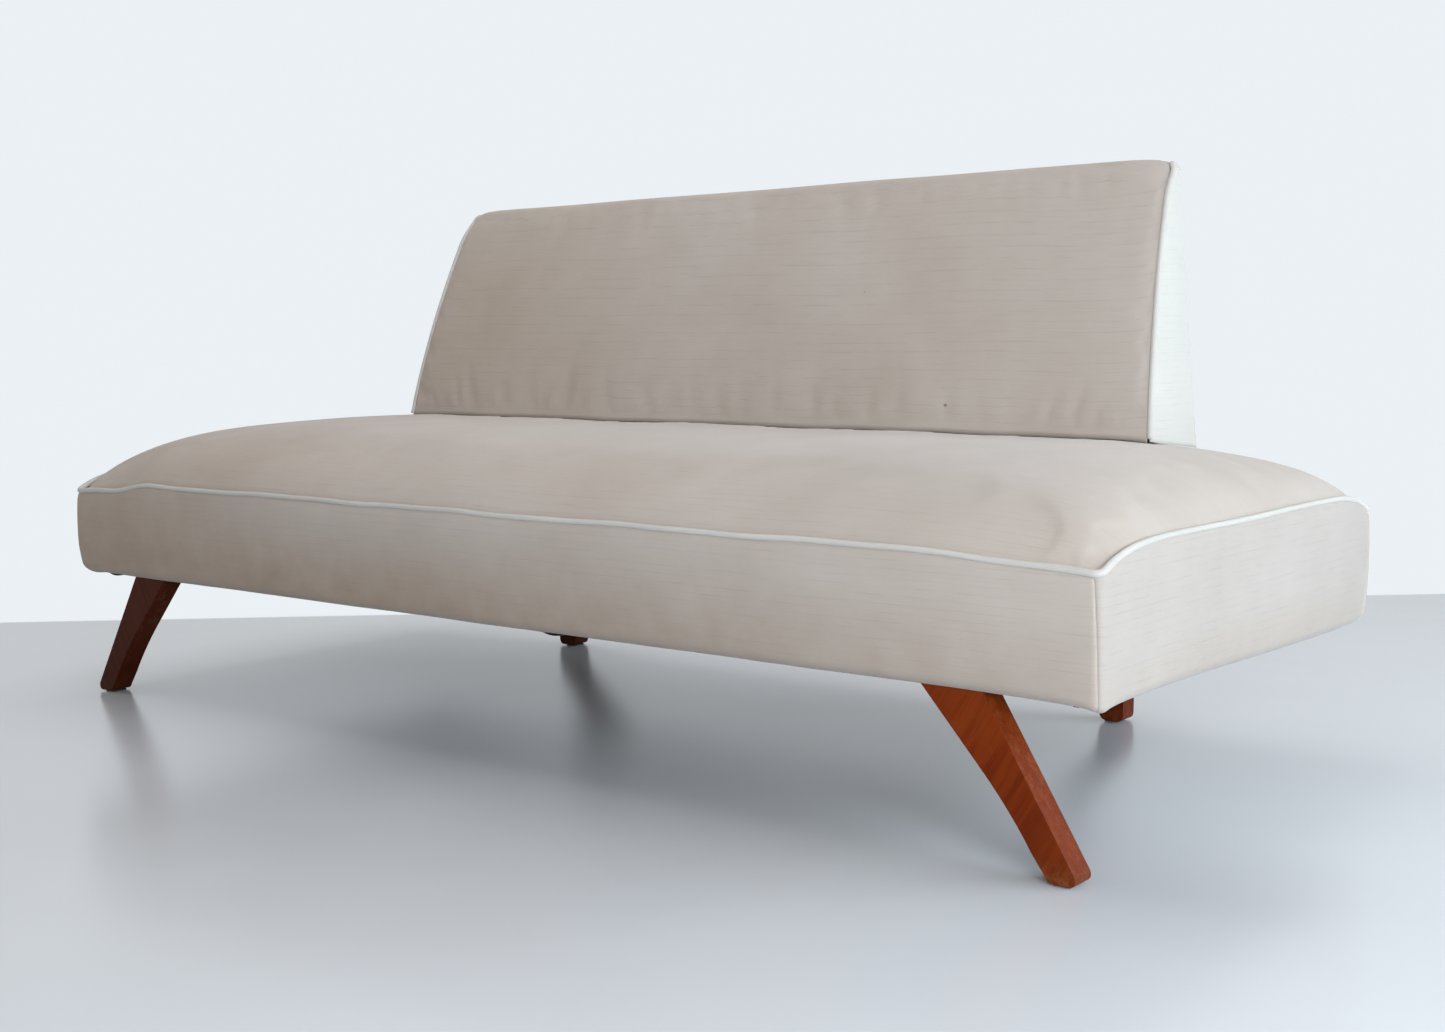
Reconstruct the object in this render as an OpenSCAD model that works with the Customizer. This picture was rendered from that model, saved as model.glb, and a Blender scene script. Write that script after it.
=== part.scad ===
// Low pull-out daybed: a sprung, upholstered seat on two splayed front legs slides forward
// on runners that belong to a rear frame. The rear frame stands on two inset legs and
// carries a wedge-shaped backrest above the seat on two bent steel arms.
// Origin: middle of the whole footprint, on the floor. +X to the right, +Y to the rear, +Z up.

/* [Seat] */
// Overall length of the seat, piping to piping
seat_len = 1900; // [1800:10:2000]
// Overall depth of the seat, piping to piping
seat_depth = 823; // [800:1:850]
// Height of the seat's underside above the floor
under_z = 208; // [200:1:220]
// Height of the piping above the floor at the middle of the front edge
pipe_z = 358; // [350:1:365]
// Rise of the padded crown above the piping
crown = 96; // [80:1:97]
// Depth of the wooden seat rails
rail_h = 84; // [70:1:88]

/* [Slide] */
// How far the seat pulls forward
pull_out = 250; // [200:5:260]
// Distance of each runner from the middle
runner_x = 340; // [300:5:360]

/* [Legs] */
// Distance from the middle to the outer face of a front foot
front_foot_x = 921; // [900:1:930]
// Distance from the middle to the outer face of a rear foot
rear_foot_x = 590; // [560:1:600]
// Thickness of a leg board
leg_t = 37; // [32:1:40]

/* [Backrest] */
// Height of the top of the backrest above the floor
back_top_z = 833; // [820:1:850]
// Half width of the backrest at the bottom
back_half_low = 737; // [700:1:745]
// Half width of the backrest at the top
back_half_high = 703; // [680:1:712]
// Distance from the front of the seat to the front of the backrest, at the bottom
sitting_depth = 566; // [560:1:570]
// Depth of the wedge at the bottom
wedge_depth = 150; // [138:1:152]

/* [Hidden] */
$fn = 32;
fit_gap = 0.05;          // radial room round a screw or bolt in its hole

// Colours
cloth = [0.70, 0.66, 0.62];
white_cloth = [0.90, 0.91, 0.92];
stained_wood = [0.50, 0.21, 0.07];
pale_wood = [0.78, 0.63, 0.43];
black_steel = [0.10, 0.10, 0.11];
bright_steel = [0.66, 0.67, 0.69];
jute = [0.60, 0.48, 0.31];
felt = [0.83, 0.80, 0.74];
black_cloth = [0.07, 0.07, 0.08];
black_rubber = [0.05, 0.05, 0.05];

// Seat box. Depths named *_d are measured from the front of the seat.
pipe_r = 5.5;            // radius of the piping
pipe_inset = 4;          // piping axis inside the outer face of the border
pipe_stand = pipe_r - pipe_inset;
border_half = seat_len / 2 - pipe_stand;
border_front_d = pipe_stand;
border_rear_d = seat_depth - pipe_stand;
border_t = 9.4;          // cloth with its felt lining
cloth_t = 2.5;
mid_d = seat_depth / 2;
half_d = mid_d - pipe_stand;
tuck = 4;                // the top panel starts this far below the piping's axis
end_lift = 21;           // extra height of the piping at the middle of each end
corner_drop = 12;        // how far the corners are pulled down
rail_t = 24;
rail_low = under_z;
rail_top = rail_low + rail_h;
rail_half = border_half - border_t;
rail_front_d = border_front_d + border_t;
rail_rear_d = border_rear_d - border_t;
cross_w = 60;
cross_h = 42;
block_leg = 70;          // leg length of a triangular corner block
dust_t = 1.5;
dust_low = under_z - dust_t;

// Springs
wire = 4;
spring_n = 14;
spring_pitch_x = 122;
spring_half_w = 22;
spring_runs = 13;
clip_t = 1.2;
clip_w = 30;
clip_reach = 18;
spring_low = rail_top + clip_t;
hessian_t = 1.5;
hessian_low = spring_low + wire + clip_t + 0.5;
padding_low = hessian_low + hessian_t;

// Legs
plate_t = 3;
plate_low = dust_low - plate_t;
glide_t = 2.5;
front_leg_d = 12;
leg_block_d = rail_front_d + rail_t;
leg_block_w = 130;
leg_block_depth = 46;
leg_block_h = 52;
bolt_r = 4;
front_bolt_d = leg_block_d + 7.6;
// Each front bolt: distance inwards from the foot's outer face, and its lowest point
front_bolts = [[159, 174], [131, 160]];

// Rear frame
beam_half = 540;
beam_front_d = 771;
beam_t = 30;
beam_low = 163;
beam_top = 203;
runner_w = 30;
runner_low = 180;
runner_top = beam_top;
guide_t = 2.5;
guide_len = 30;
guide_play = 1;
guide_flange = 20;
rear_guide_d = beam_front_d - 1.5 - guide_len;
runner_front_d = 142;
front_guide_d = runner_front_d + pull_out + 1;
stop_t = 4;
rear_leg_d = beam_front_d + beam_t;
arm_t = 7;
arm_w = 40;
arm_x = 450;
arm_d = rear_leg_d + leg_t + arm_t / 2;
head_h = 4;
total_depth = rear_leg_d + leg_t + arm_t + head_h;
arm_bolt_zs = [174, 193];

// Backrest wedge
back_rear_d = sitting_depth + wedge_depth;
back_low_front = 454;
back_low_rear = 438;
frame_rear_d = back_rear_d - 4;
frame_low = 476;
frame_top = 770;
frame_t = 22;
// Straight front edge of the wooden wedges, from bottom to top
wedge_edge = [[602, 470], [676.5, 770]];
arm_screw_zs = [542, 582, 622];

// ---------- helpers ----------

// Moves from depth behind the seat's front to the object's own frame
module place() { translate([0, -total_depth / 2, 0]) children(); }

module mirror_pair() {
    children();
    mirror([1, 0, 0]) children();
}

// A box from its lowest corner [x, depth, z] to its highest
module block(low, high) { translate(low) cube(high - low); }

// A [depth, z] outline made t thick, starting at x
module slab_x(x, t, outline) {
    translate([x, 0, 0])
        rotate([90, 0, 90])
            linear_extrude(height = t) polygon(outline);
}

// An [x, z] outline made t deep, starting at depth d
module slab_y(d, t, outline) {
    translate([0, d + t, 0])
        rotate([90, 0, 0])
            linear_extrude(height = t) polygon(outline);
}

module rod_y(x, d, z, r, len) { translate([x, d, z]) rotate([-90, 0, 0]) cylinder(r = r, h = len); }

module rod_z(x, d, z, r, len) { translate([x, d, z]) cylinder(r = r, h = len); }

function reversed(list) = [for (i = [len(list) - 1 : -1 : 0]) list[i]];

function unit(v) = v / norm(v);

function side(v) = [-v[1], v[0]];

// Points on a curve with one control point
function bend(a, c, b, n) = [
    for (i = [0 : n]) let (t = i / n) (1 - t) * (1 - t) * a + 2 * t * (1 - t) * c + t * t * b
];

// A polyline whose inner corners are rounded over a distance r
function rounded(p, r, n) = [
    p[0],
    for (i = [1 : len(p) - 2])
        each bend(p[i] + r * unit(p[i - 1] - p[i]), p[i], p[i] + r * unit(p[i + 1] - p[i]), n),
    p[len(p) - 1]
];

// Mitred normal of a polyline at point i
function normal_at(p, i) =
    let (
        last = len(p) - 1,
        a = side(unit(p[min(i + 1, last)] - p[min(i, last - 1)])),
        b = side(unit(p[max(i, 1)] - p[max(i - 1, 0)]))
    )
    (a + b) / (1 + a * b);

// Outline of a strip t wide that follows a polyline
function strip(p, t) = concat(
    [for (i = [0 : len(p) - 1]) p[i] + t / 2 * normal_at(p, i)],
    reversed([for (i = [0 : len(p) - 1]) p[i] - t / 2 * normal_at(p, i)])
);

// Round cord of radius r through 3-D points; a closed cord joins its last point to its first
module cord(p, r, closed) {
    n = len(p);
    sides = 8;
    tangent = [
        for (i = [0 : n - 1])
            unit(p[closed ? (i + 1) % n : min(i + 1, n - 1)]
                - p[closed ? (i + n - 1) % n : max(i - 1, 0)])
    ];
    axis_ref = [0.02, 0.03, 1];
    ring = [
        for (i = [0 : n - 1])
            let (
                ref = abs(tangent[i] * unit(axis_ref)) > 0.9 ? [1, 0, 0] : axis_ref,
                u = unit(cross(tangent[i], ref)),
                w = cross(tangent[i], u)
            )
            for (k = [0 : sides - 1]) p[i] + r * (cos(360 * k / sides) * u + sin(360 * k / sides) * w)
    ];
    quads = [
        for (i = [0 : closed ? n - 1 : n - 2], k = [0 : sides - 1])
            let (j = (i + 1) % n, m = (k + 1) % sides)
            each [
                [i * sides + k, i * sides + m, j * sides + m],
                [i * sides + k, j * sides + m, j * sides + k]
            ]
    ];
    ends = closed ? [] : [
        [for (k = [sides - 1 : -1 : 0]) k],
        [for (k = [0 : sides - 1]) (n - 1) * sides + k]
    ];
    polyhedron(points = ring, faces = concat(quads, ends));
}

// ---------- seat ----------

// Height of the surface that spans the piping; u and v run from -1 to 1
function pipe_height(u, v) =
    pipe_z
    + end_lift * pow(abs(u), 6) * (1 - pow(abs(v), 10))
    - corner_drop * pow(abs(u), 16) * pow(abs(v), 10);

function seat_height(u, v) =
    pipe_height(u, v) - tuck + (crown + tuck) * pow(1 - pow(abs(u), 6), 0.6) * pow(1 - pow(abs(v), 3), 0.6);

grid_n = [26, 18];
// Grid lines lie closer together near the edges, where the crown falls away
function spread(i, n) = sin(90 * (2 * i / n - 1));

// A solid under the crown, lowered by drop, down to the height that base gives. It fills
// the space inside the borders and the piping.
module crowned(drop, base) {
    play = 0.2;
    half_x = border_half - border_t - play;
    half_y = half_d - border_t - play;
    nx = grid_n[0];
    ny = grid_n[1];
    row = ny + 1;
    layer = (nx + 1) * row;
    sheet = function (top) [
        for (i = [0 : nx], j = [0 : ny])
            let (u = spread(i, nx), v = spread(j, ny), z = seat_height(u, v))
            [u * half_x, mid_d + v * half_y, top ? z - drop : base(z)]
    ];
    skins = [
        for (i = [0 : nx - 1], j = [0 : ny - 1])
            let (a = i * row + j, b = a + row)
            each [
                [a, a + 1, b + 1], [a, b + 1, b],
                [layer + a, layer + b + 1, layer + a + 1], [layer + a, layer + b, layer + b + 1]
            ]
    ];
    rim = concat(
        [for (i = [0 : nx]) i * row],
        [for (j = [1 : ny]) nx * row + j],
        [for (i = [nx - 1 : -1 : 0]) i * row + ny],
        [for (j = [ny - 1 : -1 : 1]) j]
    );
    walls = [
        for (k = [0 : len(rim) - 1])
            let (a = rim[k], b = rim[(k + 1) % len(rim)])
            each [[a, b, layer + b], [a, layer + b, layer + a]]
    ];
    polyhedron(points = concat(sheet(true), sheet(false)), faces = concat(skins, walls));
}

module seat_padding() {
    color(felt) place()
        crowned(cloth_t + 0.1, function (z) padding_low);
}

module seat_top_panel() {
    color(cloth) place()
        crowned(0, function (z) z - cloth_t);
}

border_steps = 24;
// Upper edge of a border panel; it stops under the piping
function border_rise(u, v) = pipe_height(u, v) - pipe_r - 0.8;

module border_long(d) {
    top = [
        for (i = [0 : border_steps])
            let (u = -spread(i, border_steps)) [u * border_half, border_rise(u, 1)]
    ];
    slab_y(d, border_t, concat([[-border_half, under_z], [border_half, under_z]], top));
}

module border_end(x) {
    top = [
        for (i = [0 : border_steps])
            let (v = -spread(i, border_steps))
            [mid_d + v * (half_d - border_t), border_rise(1, v)]
    ];
    low = [[rail_front_d, under_z], [rail_rear_d, under_z]];
    slab_x(x, border_t, concat(low, top));
}

module seat_border_front() { color(cloth) place() border_long(border_front_d); }
module seat_border_rear() { color(cloth) place() border_long(border_rear_d - border_t); }
module seat_border_left() { color(cloth) place() border_end(-border_half); }
module seat_border_right() { color(cloth) place() border_end(border_half - border_t); }

// The piping lies on the borders, round the top panel
module seat_piping() {
    px = border_half - pipe_inset;
    py = half_d - pipe_inset;
    corner = 10;
    n_long = border_steps;
    n_end = 16;
    quarter = [
        for (i = [0 : n_long]) let (s = spread(i, n_long)) [s * (px - corner), -py],
        [px - corner * 0.3, -py + corner * 0.3],
        for (i = [0 : n_end]) let (s = spread(i, n_end)) [px, s * (py - corner)],
        [px - corner * 0.3, py - corner * 0.3]
    ];
    plan = concat(
        quarter,
        [for (i = [n_long : -1 : 0]) let (s = spread(i, n_long)) [s * (px - corner), py]],
        [[-px + corner * 0.3, py - corner * 0.3]],
        [for (i = [n_end : -1 : 0]) let (s = spread(i, n_end)) [-px, s * (py - corner)]],
        [[-px + corner * 0.3, -py + corner * 0.3]]
    );
    color(white_cloth) place()
        cord([for (q = plan) [q[0], mid_d + q[1], pipe_height(q[0] / px, q[1] / py)]],
            pipe_r, true);
}

// Cuts the corners and the lower ends off the rails, so that the cloth rounds them softly
corner_cut = 26;
end_cut = 12;
module eased() {
    low_half = rail_half - end_cut;
    plan_half = rail_half - corner_cut;
    intersection() {
        children();
        slab_y(rail_front_d - 1, seat_depth, [
            [-low_half, rail_low], [low_half, rail_low], [rail_half, rail_low + end_cut],
            [rail_half, rail_top], [-rail_half, rail_top], [-rail_half, rail_low + end_cut]
        ]);
        translate([0, 0, rail_low - 1])
            linear_extrude(height = rail_h + 2)
                polygon([
                    [-plan_half, rail_front_d], [plan_half, rail_front_d],
                    [rail_half, rail_front_d + corner_cut], [rail_half, rail_rear_d - corner_cut],
                    [plan_half, rail_rear_d], [-plan_half, rail_rear_d],
                    [-rail_half, rail_rear_d - corner_cut], [-rail_half, rail_front_d + corner_cut]
                ]);
    }
}

module long_rail(d) { eased() block([-rail_half, d, rail_low], [rail_half, d + rail_t, rail_top]); }

module seat_front_rail() { color(pale_wood) place() long_rail(rail_front_d); }
module seat_rear_rail() { color(pale_wood) place() long_rail(rail_rear_d - rail_t); }

inner_front_d = rail_front_d + rail_t;
inner_rear_d = rail_rear_d - rail_t;

module end_rail(x) {
    eased() block([x, inner_front_d, rail_low], [x + rail_t, inner_rear_d, rail_top]);
}

module seat_left_rail() { color(pale_wood) place() end_rail(-rail_half); }
module seat_right_rail() { color(pale_wood) place() end_rail(rail_half - rail_t); }

guide_screw_x = runner_w / 2 + guide_play + guide_t + guide_flange / 2;
guide_screw_r = 2;
guide_screw_len = 20;
guide_ds = [front_guide_d + guide_len / 2, rear_guide_d + guide_len / 2];

// One cross rail at x; those over a runner are drilled for the guides' screws
module cross_rail(x, drilled) {
    difference() {
        block([x - cross_w / 2, inner_front_d, rail_low],
            [x + cross_w / 2, inner_rear_d, rail_low + cross_h]);
        if (drilled)
            for (d = guide_ds, s = [-1, 1])
                rod_z(x + s * guide_screw_x, d, rail_low - 1, guide_screw_r + fit_gap,
                    guide_screw_len);
    }
}

module seat_cross_rail_left() { color(pale_wood) place() cross_rail(-runner_x, true); }
module seat_cross_rail_center() { color(pale_wood) place() cross_rail(0, false); }
module seat_cross_rail_right() { color(pale_wood) place() cross_rail(runner_x, true); }

module seat_corner_blocks() {
    x = rail_half - rail_t;
    low = rail_low + 8;
    h = rail_h - 16;
    color(pale_wood) place()
        mirror_pair()
            for (e = [[inner_front_d, 1], [inner_rear_d, -1]])
                translate([0, 0, low])
                    linear_extrude(height = h)
                        polygon([[x, e[0]], [x - block_leg, e[0]], [x, e[0] + e[1] * block_leg]]);
}

function bolt_x(foot_x, inward) = foot_x - inward;

leg_block_x = front_foot_x - 210;

module seat_leg_blocks() {
    color(pale_wood) place()
        mirror_pair()
            difference() {
                block([leg_block_x, leg_block_d, rail_low],
                    [leg_block_x + leg_block_w, leg_block_d + leg_block_depth,
                        rail_low + leg_block_h]);
                for (b = front_bolts)
                    rod_z(bolt_x(front_foot_x, b[0]), front_bolt_d, rail_low - 1,
                        bolt_r + fit_gap, leg_block_h + 2);
            }
}

// One zig-zag spring from the front rail to the rear rail
spring_front_d = inner_front_d - clip_reach + clip_t + 2;
spring_rear_d = inner_rear_d + clip_reach - clip_t - 2;
spring_path = [
    for (i = [0 : spring_runs])
        let (d = spring_front_d + (spring_rear_d - spring_front_d) * i / spring_runs)
        each (i % 2 == 0
            ? [[-spring_half_w, d], [spring_half_w, d]]
            : [[spring_half_w, d], [-spring_half_w, d]])
];
function spring_x(k) = (k - (spring_n - 1) / 2) * spring_pitch_x;

module seat_springs() {
    color(bright_steel) place()
        for (k = [0 : spring_n - 1])
            translate([spring_x(k), 0, spring_low + 0.1])
                linear_extrude(height = wire - 0.2)
                    polygon(strip(rounded(spring_path, 14, 2), wire));
}

// A folded clip that holds the last run of a spring; way is 1 at the front, -1 at the rear
module spring_clip(x, d, way) {
    back = d + way * clip_t;
    tip = d + way * clip_reach;
    top = clip_t * 2 + wire;
    slab_x(x - clip_w / 2, clip_w, [
        for (q = [[d, 0], [tip, 0], [tip, clip_t], [back, clip_t], [back, top - clip_t],
            [tip, top - clip_t], [tip, top], [d, top]]) [q[0], rail_top + q[1]]
    ]);
}

module seat_spring_clips() {
    color(bright_steel) place()
        for (k = [0 : spring_n - 1]) {
            spring_clip(spring_x(k), inner_front_d - clip_reach, 1);
            spring_clip(spring_x(k), inner_rear_d + clip_reach, -1);
        }
}

module seat_hessian() {
    margin = 10;
    color(jute) place()
        block([-rail_half + margin, rail_front_d + margin, hessian_low],
            [rail_half - margin, rail_rear_d - margin, hessian_low + hessian_t]);
}

module seat_dust_cover() {
    margin = 26;
    color(black_cloth) place()
        difference() {
            block([-border_half + margin, border_front_d + margin, dust_low],
                [border_half - margin, border_rear_d - margin, dust_low + dust_t]);
            mirror_pair() {
                for (b = front_bolts)
                    rod_z(bolt_x(front_foot_x, b[0]), front_bolt_d, dust_low - 1,
                        bolt_r + fit_gap, dust_t + 2);
                for (d = guide_ds, s = [-1, 1])
                    rod_z(runner_x + s * guide_screw_x, d, dust_low - 1,
                        guide_screw_r + fit_gap, dust_t + 2);
            }
        }
}

// ---------- legs ----------

// Outline of a front leg as [distance inwards from the foot's outer face, height]: a straight outer
// edge, and an inner edge of two straight runs with a soft bend between them
leg_toe = 8;
leg_slant = 0.59;        // run of the outer edge over its height
leg_flare = 0.9;         // the same for the upper part of the inner edge
leg_bend = [84, 76];
function leg_outline(top) = concat(
    [[top * leg_slant, top], [leg_bend[0] + (top - leg_bend[1]) * leg_flare, top]],
    bend(leg_bend + 42 * [leg_flare, 1], leg_bend, leg_bend - 42 * [0.62, 1], 10),
    bend([42, 12], [38, glide_t], [29, glide_t], 5),
    bend([leg_toe + 4, glide_t], [1, glide_t], [4, 14], 5)
);

// A rear leg stands upright for its lowest part and slants above it
rear_foot_h = 50;
function rear_leg_outline(top) = concat(
    [[(top - rear_foot_h) * 0.76, top], [44 + (top - rear_foot_h) * 1.04, top]],
    bend([65, 70], [44, rear_foot_h], [42, 26], 6),
    bend([40, 12], [38, glide_t], [29, glide_t], 5),
    bend([11, glide_t], [0, glide_t], [0, 13], 5),
    bend([0, 38], [0, rear_foot_h], [10, rear_foot_h + 13], 5)
);

module leg_board(foot_x, d, outline) {
    slab_y(d, leg_t, [for (q = outline) [foot_x - q[0], q[1]]]);
}

// Plate that holds a front leg, let into the top of the leg; grown by play on every side
plate_inset = 6;
module plate_block(play) {
    block([front_foot_x - 196 - play, front_leg_d + plate_inset - play, plate_low - play],
        [front_foot_x - 124 + play, leg_block_d + leg_block_depth - 8 + play, dust_low + play]);
}

module front_leg() {
    difference() {
        leg_board(front_foot_x, front_leg_d, leg_outline(dust_low - 0.05));
        plate_block(0.1);
        for (b = front_bolts)
            rod_z(bolt_x(front_foot_x, b[0]), front_bolt_d, b[1] - 1, bolt_r + fit_gap,
                plate_low - b[1] + 2);
    }
}

module front_leg_right() { color(stained_wood) place() front_leg(); }
module front_leg_left() { color(stained_wood) place() mirror([1, 0, 0]) front_leg(); }

module rear_leg() {
    difference() {
        leg_board(rear_foot_x, rear_leg_d, rear_leg_outline(beam_top));
        for (z = arm_bolt_zs)
            rod_y(arm_x, rear_leg_d - 1, z, bolt_r + fit_gap, leg_t + 2);
    }
}

module rear_leg_right() { color(stained_wood) place() rear_leg(); }
module rear_leg_left() { color(stained_wood) place() mirror([1, 0, 0]) rear_leg(); }

module glides(foot_x, d) {
    inset = 6;
    mirror_pair()
        block([foot_x - 34, d + inset, 0], [foot_x - 11, d + leg_t - inset, glide_t - 0.05]);
}

module front_glides() { color(black_rubber) place() glides(front_foot_x, front_leg_d); }
module rear_glides() { color(black_rubber) place() glides(rear_foot_x, rear_leg_d); }

module front_leg_plates() {
    color(black_steel) place()
        mirror_pair()
            difference() {
                plate_block(0);
                for (b = front_bolts)
                    rod_z(bolt_x(front_foot_x, b[0]), front_bolt_d, plate_low - 1,
                        bolt_r + fit_gap, plate_t + 2);
            }
}

module front_leg_bolts() {
    head_r = 7;
    head = 5;
    color(bright_steel) place()
        mirror_pair()
            for (b = front_bolts) {
                rod_z(bolt_x(front_foot_x, b[0]), front_bolt_d, b[1], bolt_r,
                    rail_low + leg_block_h - b[1]);
                rod_z(bolt_x(front_foot_x, b[0]), front_bolt_d, rail_low + leg_block_h, head_r,
                    head);
            }
}

// ---------- slide ----------

// A closed strap that hangs under a cross rail and wraps the runner
module guide(x, d) {
    in_w = runner_w / 2 + guide_play;
    out_w = in_w + guide_t;
    reach = out_w + guide_flange;
    floor_z = runner_low - guide_play;
    difference() {
        slab_y(d, guide_len, [
            for (q = [[-out_w, floor_z - guide_t], [out_w, floor_z - guide_t],
                [out_w, dust_low - guide_t], [reach, dust_low - guide_t], [reach, dust_low],
                [-reach, dust_low], [-reach, dust_low - guide_t], [-out_w, dust_low - guide_t]])
                [x + q[0], q[1]]
        ]);
        block([x - in_w, d - 1, floor_z], [x + in_w, d + guide_len + 1, dust_low - guide_t]);
        for (s = [-1, 1])
            rod_z(x + s * guide_screw_x, d + guide_len / 2, dust_low - guide_t - 1,
                guide_screw_r + fit_gap, guide_t + 2);
    }
}

module guide_front_left() { color(black_steel) place() guide(-runner_x, front_guide_d); }
module guide_front_right() { color(black_steel) place() guide(runner_x, front_guide_d); }
module guide_rear_left() { color(black_steel) place() guide(-runner_x, rear_guide_d); }
module guide_rear_right() { color(black_steel) place() guide(runner_x, rear_guide_d); }

module guide_screws() {
    head_low = dust_low - guide_t - 2;
    color(bright_steel) place()
        mirror_pair()
            for (d = guide_ds, s = [-1, 1]) {
                rod_z(runner_x + s * guide_screw_x, d, head_low, 4, 2);
                rod_z(runner_x + s * guide_screw_x, d, head_low + 2, guide_screw_r,
                    guide_screw_len);
            }
}

runner_bolt_r = 3;
runner_bolt_d = beam_front_d + beam_t / 2;
sink_r = 6;
sink_h = 3;
stop_screw_r = 2;
stop_screw_len = 24;
runner_mid_z = (runner_low + runner_top) / 2;

module runner(x) {
    difference() {
        block([x - runner_w / 2, runner_front_d, runner_low],
            [x + runner_w / 2, rear_leg_d - 0.2, runner_top]);
        rod_z(x, runner_bolt_d, runner_low - 1, runner_bolt_r + fit_gap, 40);
        rod_z(x, runner_bolt_d, runner_top - sink_h, sink_r + fit_gap, 10);
        rod_y(x, runner_front_d - 1, runner_mid_z, stop_screw_r + fit_gap, stop_screw_len + 1);
    }
}

module runner_left() { color(pale_wood) place() runner(-runner_x); }
module runner_right() { color(pale_wood) place() runner(runner_x); }

module runner_stops() {
    half_w = 20;
    low = 176;
    high = dust_low - 1;
    color(black_steel) place()
        mirror_pair()
            difference() {
                block([runner_x - half_w, runner_front_d - stop_t, low],
                    [runner_x + half_w, runner_front_d, high]);
                rod_y(runner_x, runner_front_d - stop_t - 1, runner_mid_z,
                    stop_screw_r + fit_gap, stop_t + 2);
            }
}

module stop_screws() {
    head = 2.5;
    color(bright_steel) place()
        mirror_pair() {
            rod_y(runner_x, runner_front_d - stop_t - head, runner_mid_z, 4.5, head);
            rod_y(runner_x, runner_front_d - stop_t, runner_mid_z, stop_screw_r,
                stop_t + stop_screw_len - 1);
        }
}

module runner_bolts() {
    nut = 5;
    color(bright_steel) place()
        mirror_pair() {
            rod_z(runner_x, runner_bolt_d, beam_low - nut, runner_bolt_r,
                runner_top - sink_h - beam_low + nut);
            rod_z(runner_x, runner_bolt_d, runner_top - sink_h, sink_r, sink_h);
            translate([runner_x, runner_bolt_d, beam_low - nut]) cylinder(r = 5.8, h = nut, $fn = 6);
        }
}

module rear_beam() {
    notch = runner_w / 2 + 0.1;
    color(pale_wood) place()
        difference() {
            block([-beam_half, beam_front_d, beam_low], [beam_half, rear_leg_d, beam_top]);
            mirror_pair() {
                block([runner_x - notch, beam_front_d - 1, runner_low - 0.05],
                    [runner_x + notch, rear_leg_d + 1, beam_top + 1]);
                rod_z(runner_x, runner_bolt_d, beam_low - 1, runner_bolt_r + fit_gap, 40);
                for (z = arm_bolt_zs)
                    rod_y(arm_x, beam_front_d - 1, z, bolt_r + fit_gap, beam_t + 2);
            }
        }
}

// ---------- support arms ----------

arm_top_z = 650;
arm_rear_d = back_rear_d + arm_t / 2;
arm_path = [[arm_d, 160], [arm_d, 400], [arm_rear_d, 505], [arm_rear_d, arm_top_z]];
arm_screw_r = 2.5;
arm_screw_len = 22;

module support_arm() {
    difference() {
        slab_x(arm_x - arm_w / 2, arm_w, strip(rounded(arm_path, 24, 6), arm_t));
        for (z = arm_bolt_zs)
            rod_y(arm_x, arm_d - arm_t, z, bolt_r + fit_gap, 2 * arm_t);
        for (z = arm_screw_zs)
            rod_y(arm_x, arm_rear_d - arm_t, z, arm_screw_r + fit_gap, 2 * arm_t);
    }
}

module support_arm_right() { color(black_steel) place() support_arm(); }
module support_arm_left() { color(black_steel) place() mirror([1, 0, 0]) support_arm(); }

// Carriage bolts through arm, leg and beam, with their nuts in front of the beam
module arm_bolts() {
    color(bright_steel) place()
        mirror_pair()
            for (z = arm_bolt_zs) {
                rod_y(arm_x, beam_front_d - 9, z, bolt_r, 9 + beam_t + leg_t + arm_t);
                rod_y(arm_x, arm_d + arm_t / 2, z, 8.5, head_h);
            }
}

module arm_nuts() {
    nut = 6.5;
    color(bright_steel) place()
        mirror_pair()
            for (z = arm_bolt_zs)
                difference() {
                    translate([arm_x, beam_front_d - nut, z])
                        rotate([-90, 0, 0]) cylinder(r = 7.5, h = nut, $fn = 6);
                    rod_y(arm_x, beam_front_d - nut - 1, z, bolt_r + fit_gap, nut + 2);
                }
}

module arm_screws() {
    head = 3;
    color(bright_steel) place()
        mirror_pair()
            for (z = arm_screw_zs) {
                rod_y(arm_x, back_rear_d + arm_t - 4 - arm_screw_len, z, arm_screw_r,
                    arm_screw_len + 4);
                rod_y(arm_x, back_rear_d + arm_t, z, 5, head);
            }
}

// ---------- backrest ----------

taper = (back_half_low - back_half_high) / (796 - 452);
// Half width of the backrest at height z
function back_half(z) = back_half_low - (z - 452) * taper;

// Outer line of the wedge seen from the end: up the bulging front and round the top
front_foot = [sitting_depth, back_low_front];
cap_r = 14;
cap_mid = [back_rear_d - cap_r, back_top_z - cap_r];
cap_turn = 155;
cap_start = cap_mid + cap_r * [cos(cap_turn), sin(cap_turn)];
front_line = concat(
    bend(front_foot, cap_start - 190 * [0.463, 1], cap_start, 12),
    [for (i = [1 : 5]) let (a = cap_turn * (1 - i / 5)) cap_mid + cap_r * [cos(a), sin(a)]]
);

// The same line moved inwards by t
function inner_line(t) = [
    for (i = [0 : len(front_line) - 1]) front_line[i] - t * normal_at(front_line, i)
];

// Half width of the backrest at height z, with its top corners rounded
corner_r = 24;
function back_side(z) =
    let (over = max(0, z - back_top_z + corner_r))
    back_half(z) - corner_r + sqrt(corner_r * corner_r - over * over);

// Radius of the backrest's piping, and how far its middle lies inside the cloth
piping_r = 4.5;
piping_bury = 3.5;

// Half width of the front panel, which stops inside the piping all round
function panel_side(z) =
    let (
        over = min(corner_r - piping_bury, max(0, z - back_top_z + corner_r)),
        fall = sqrt(corner_r * corner_r - over * over)
    )
    back_half(z) - corner_r + fall - piping_bury - (piping_r + 1.6) * corner_r / fall;

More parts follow.
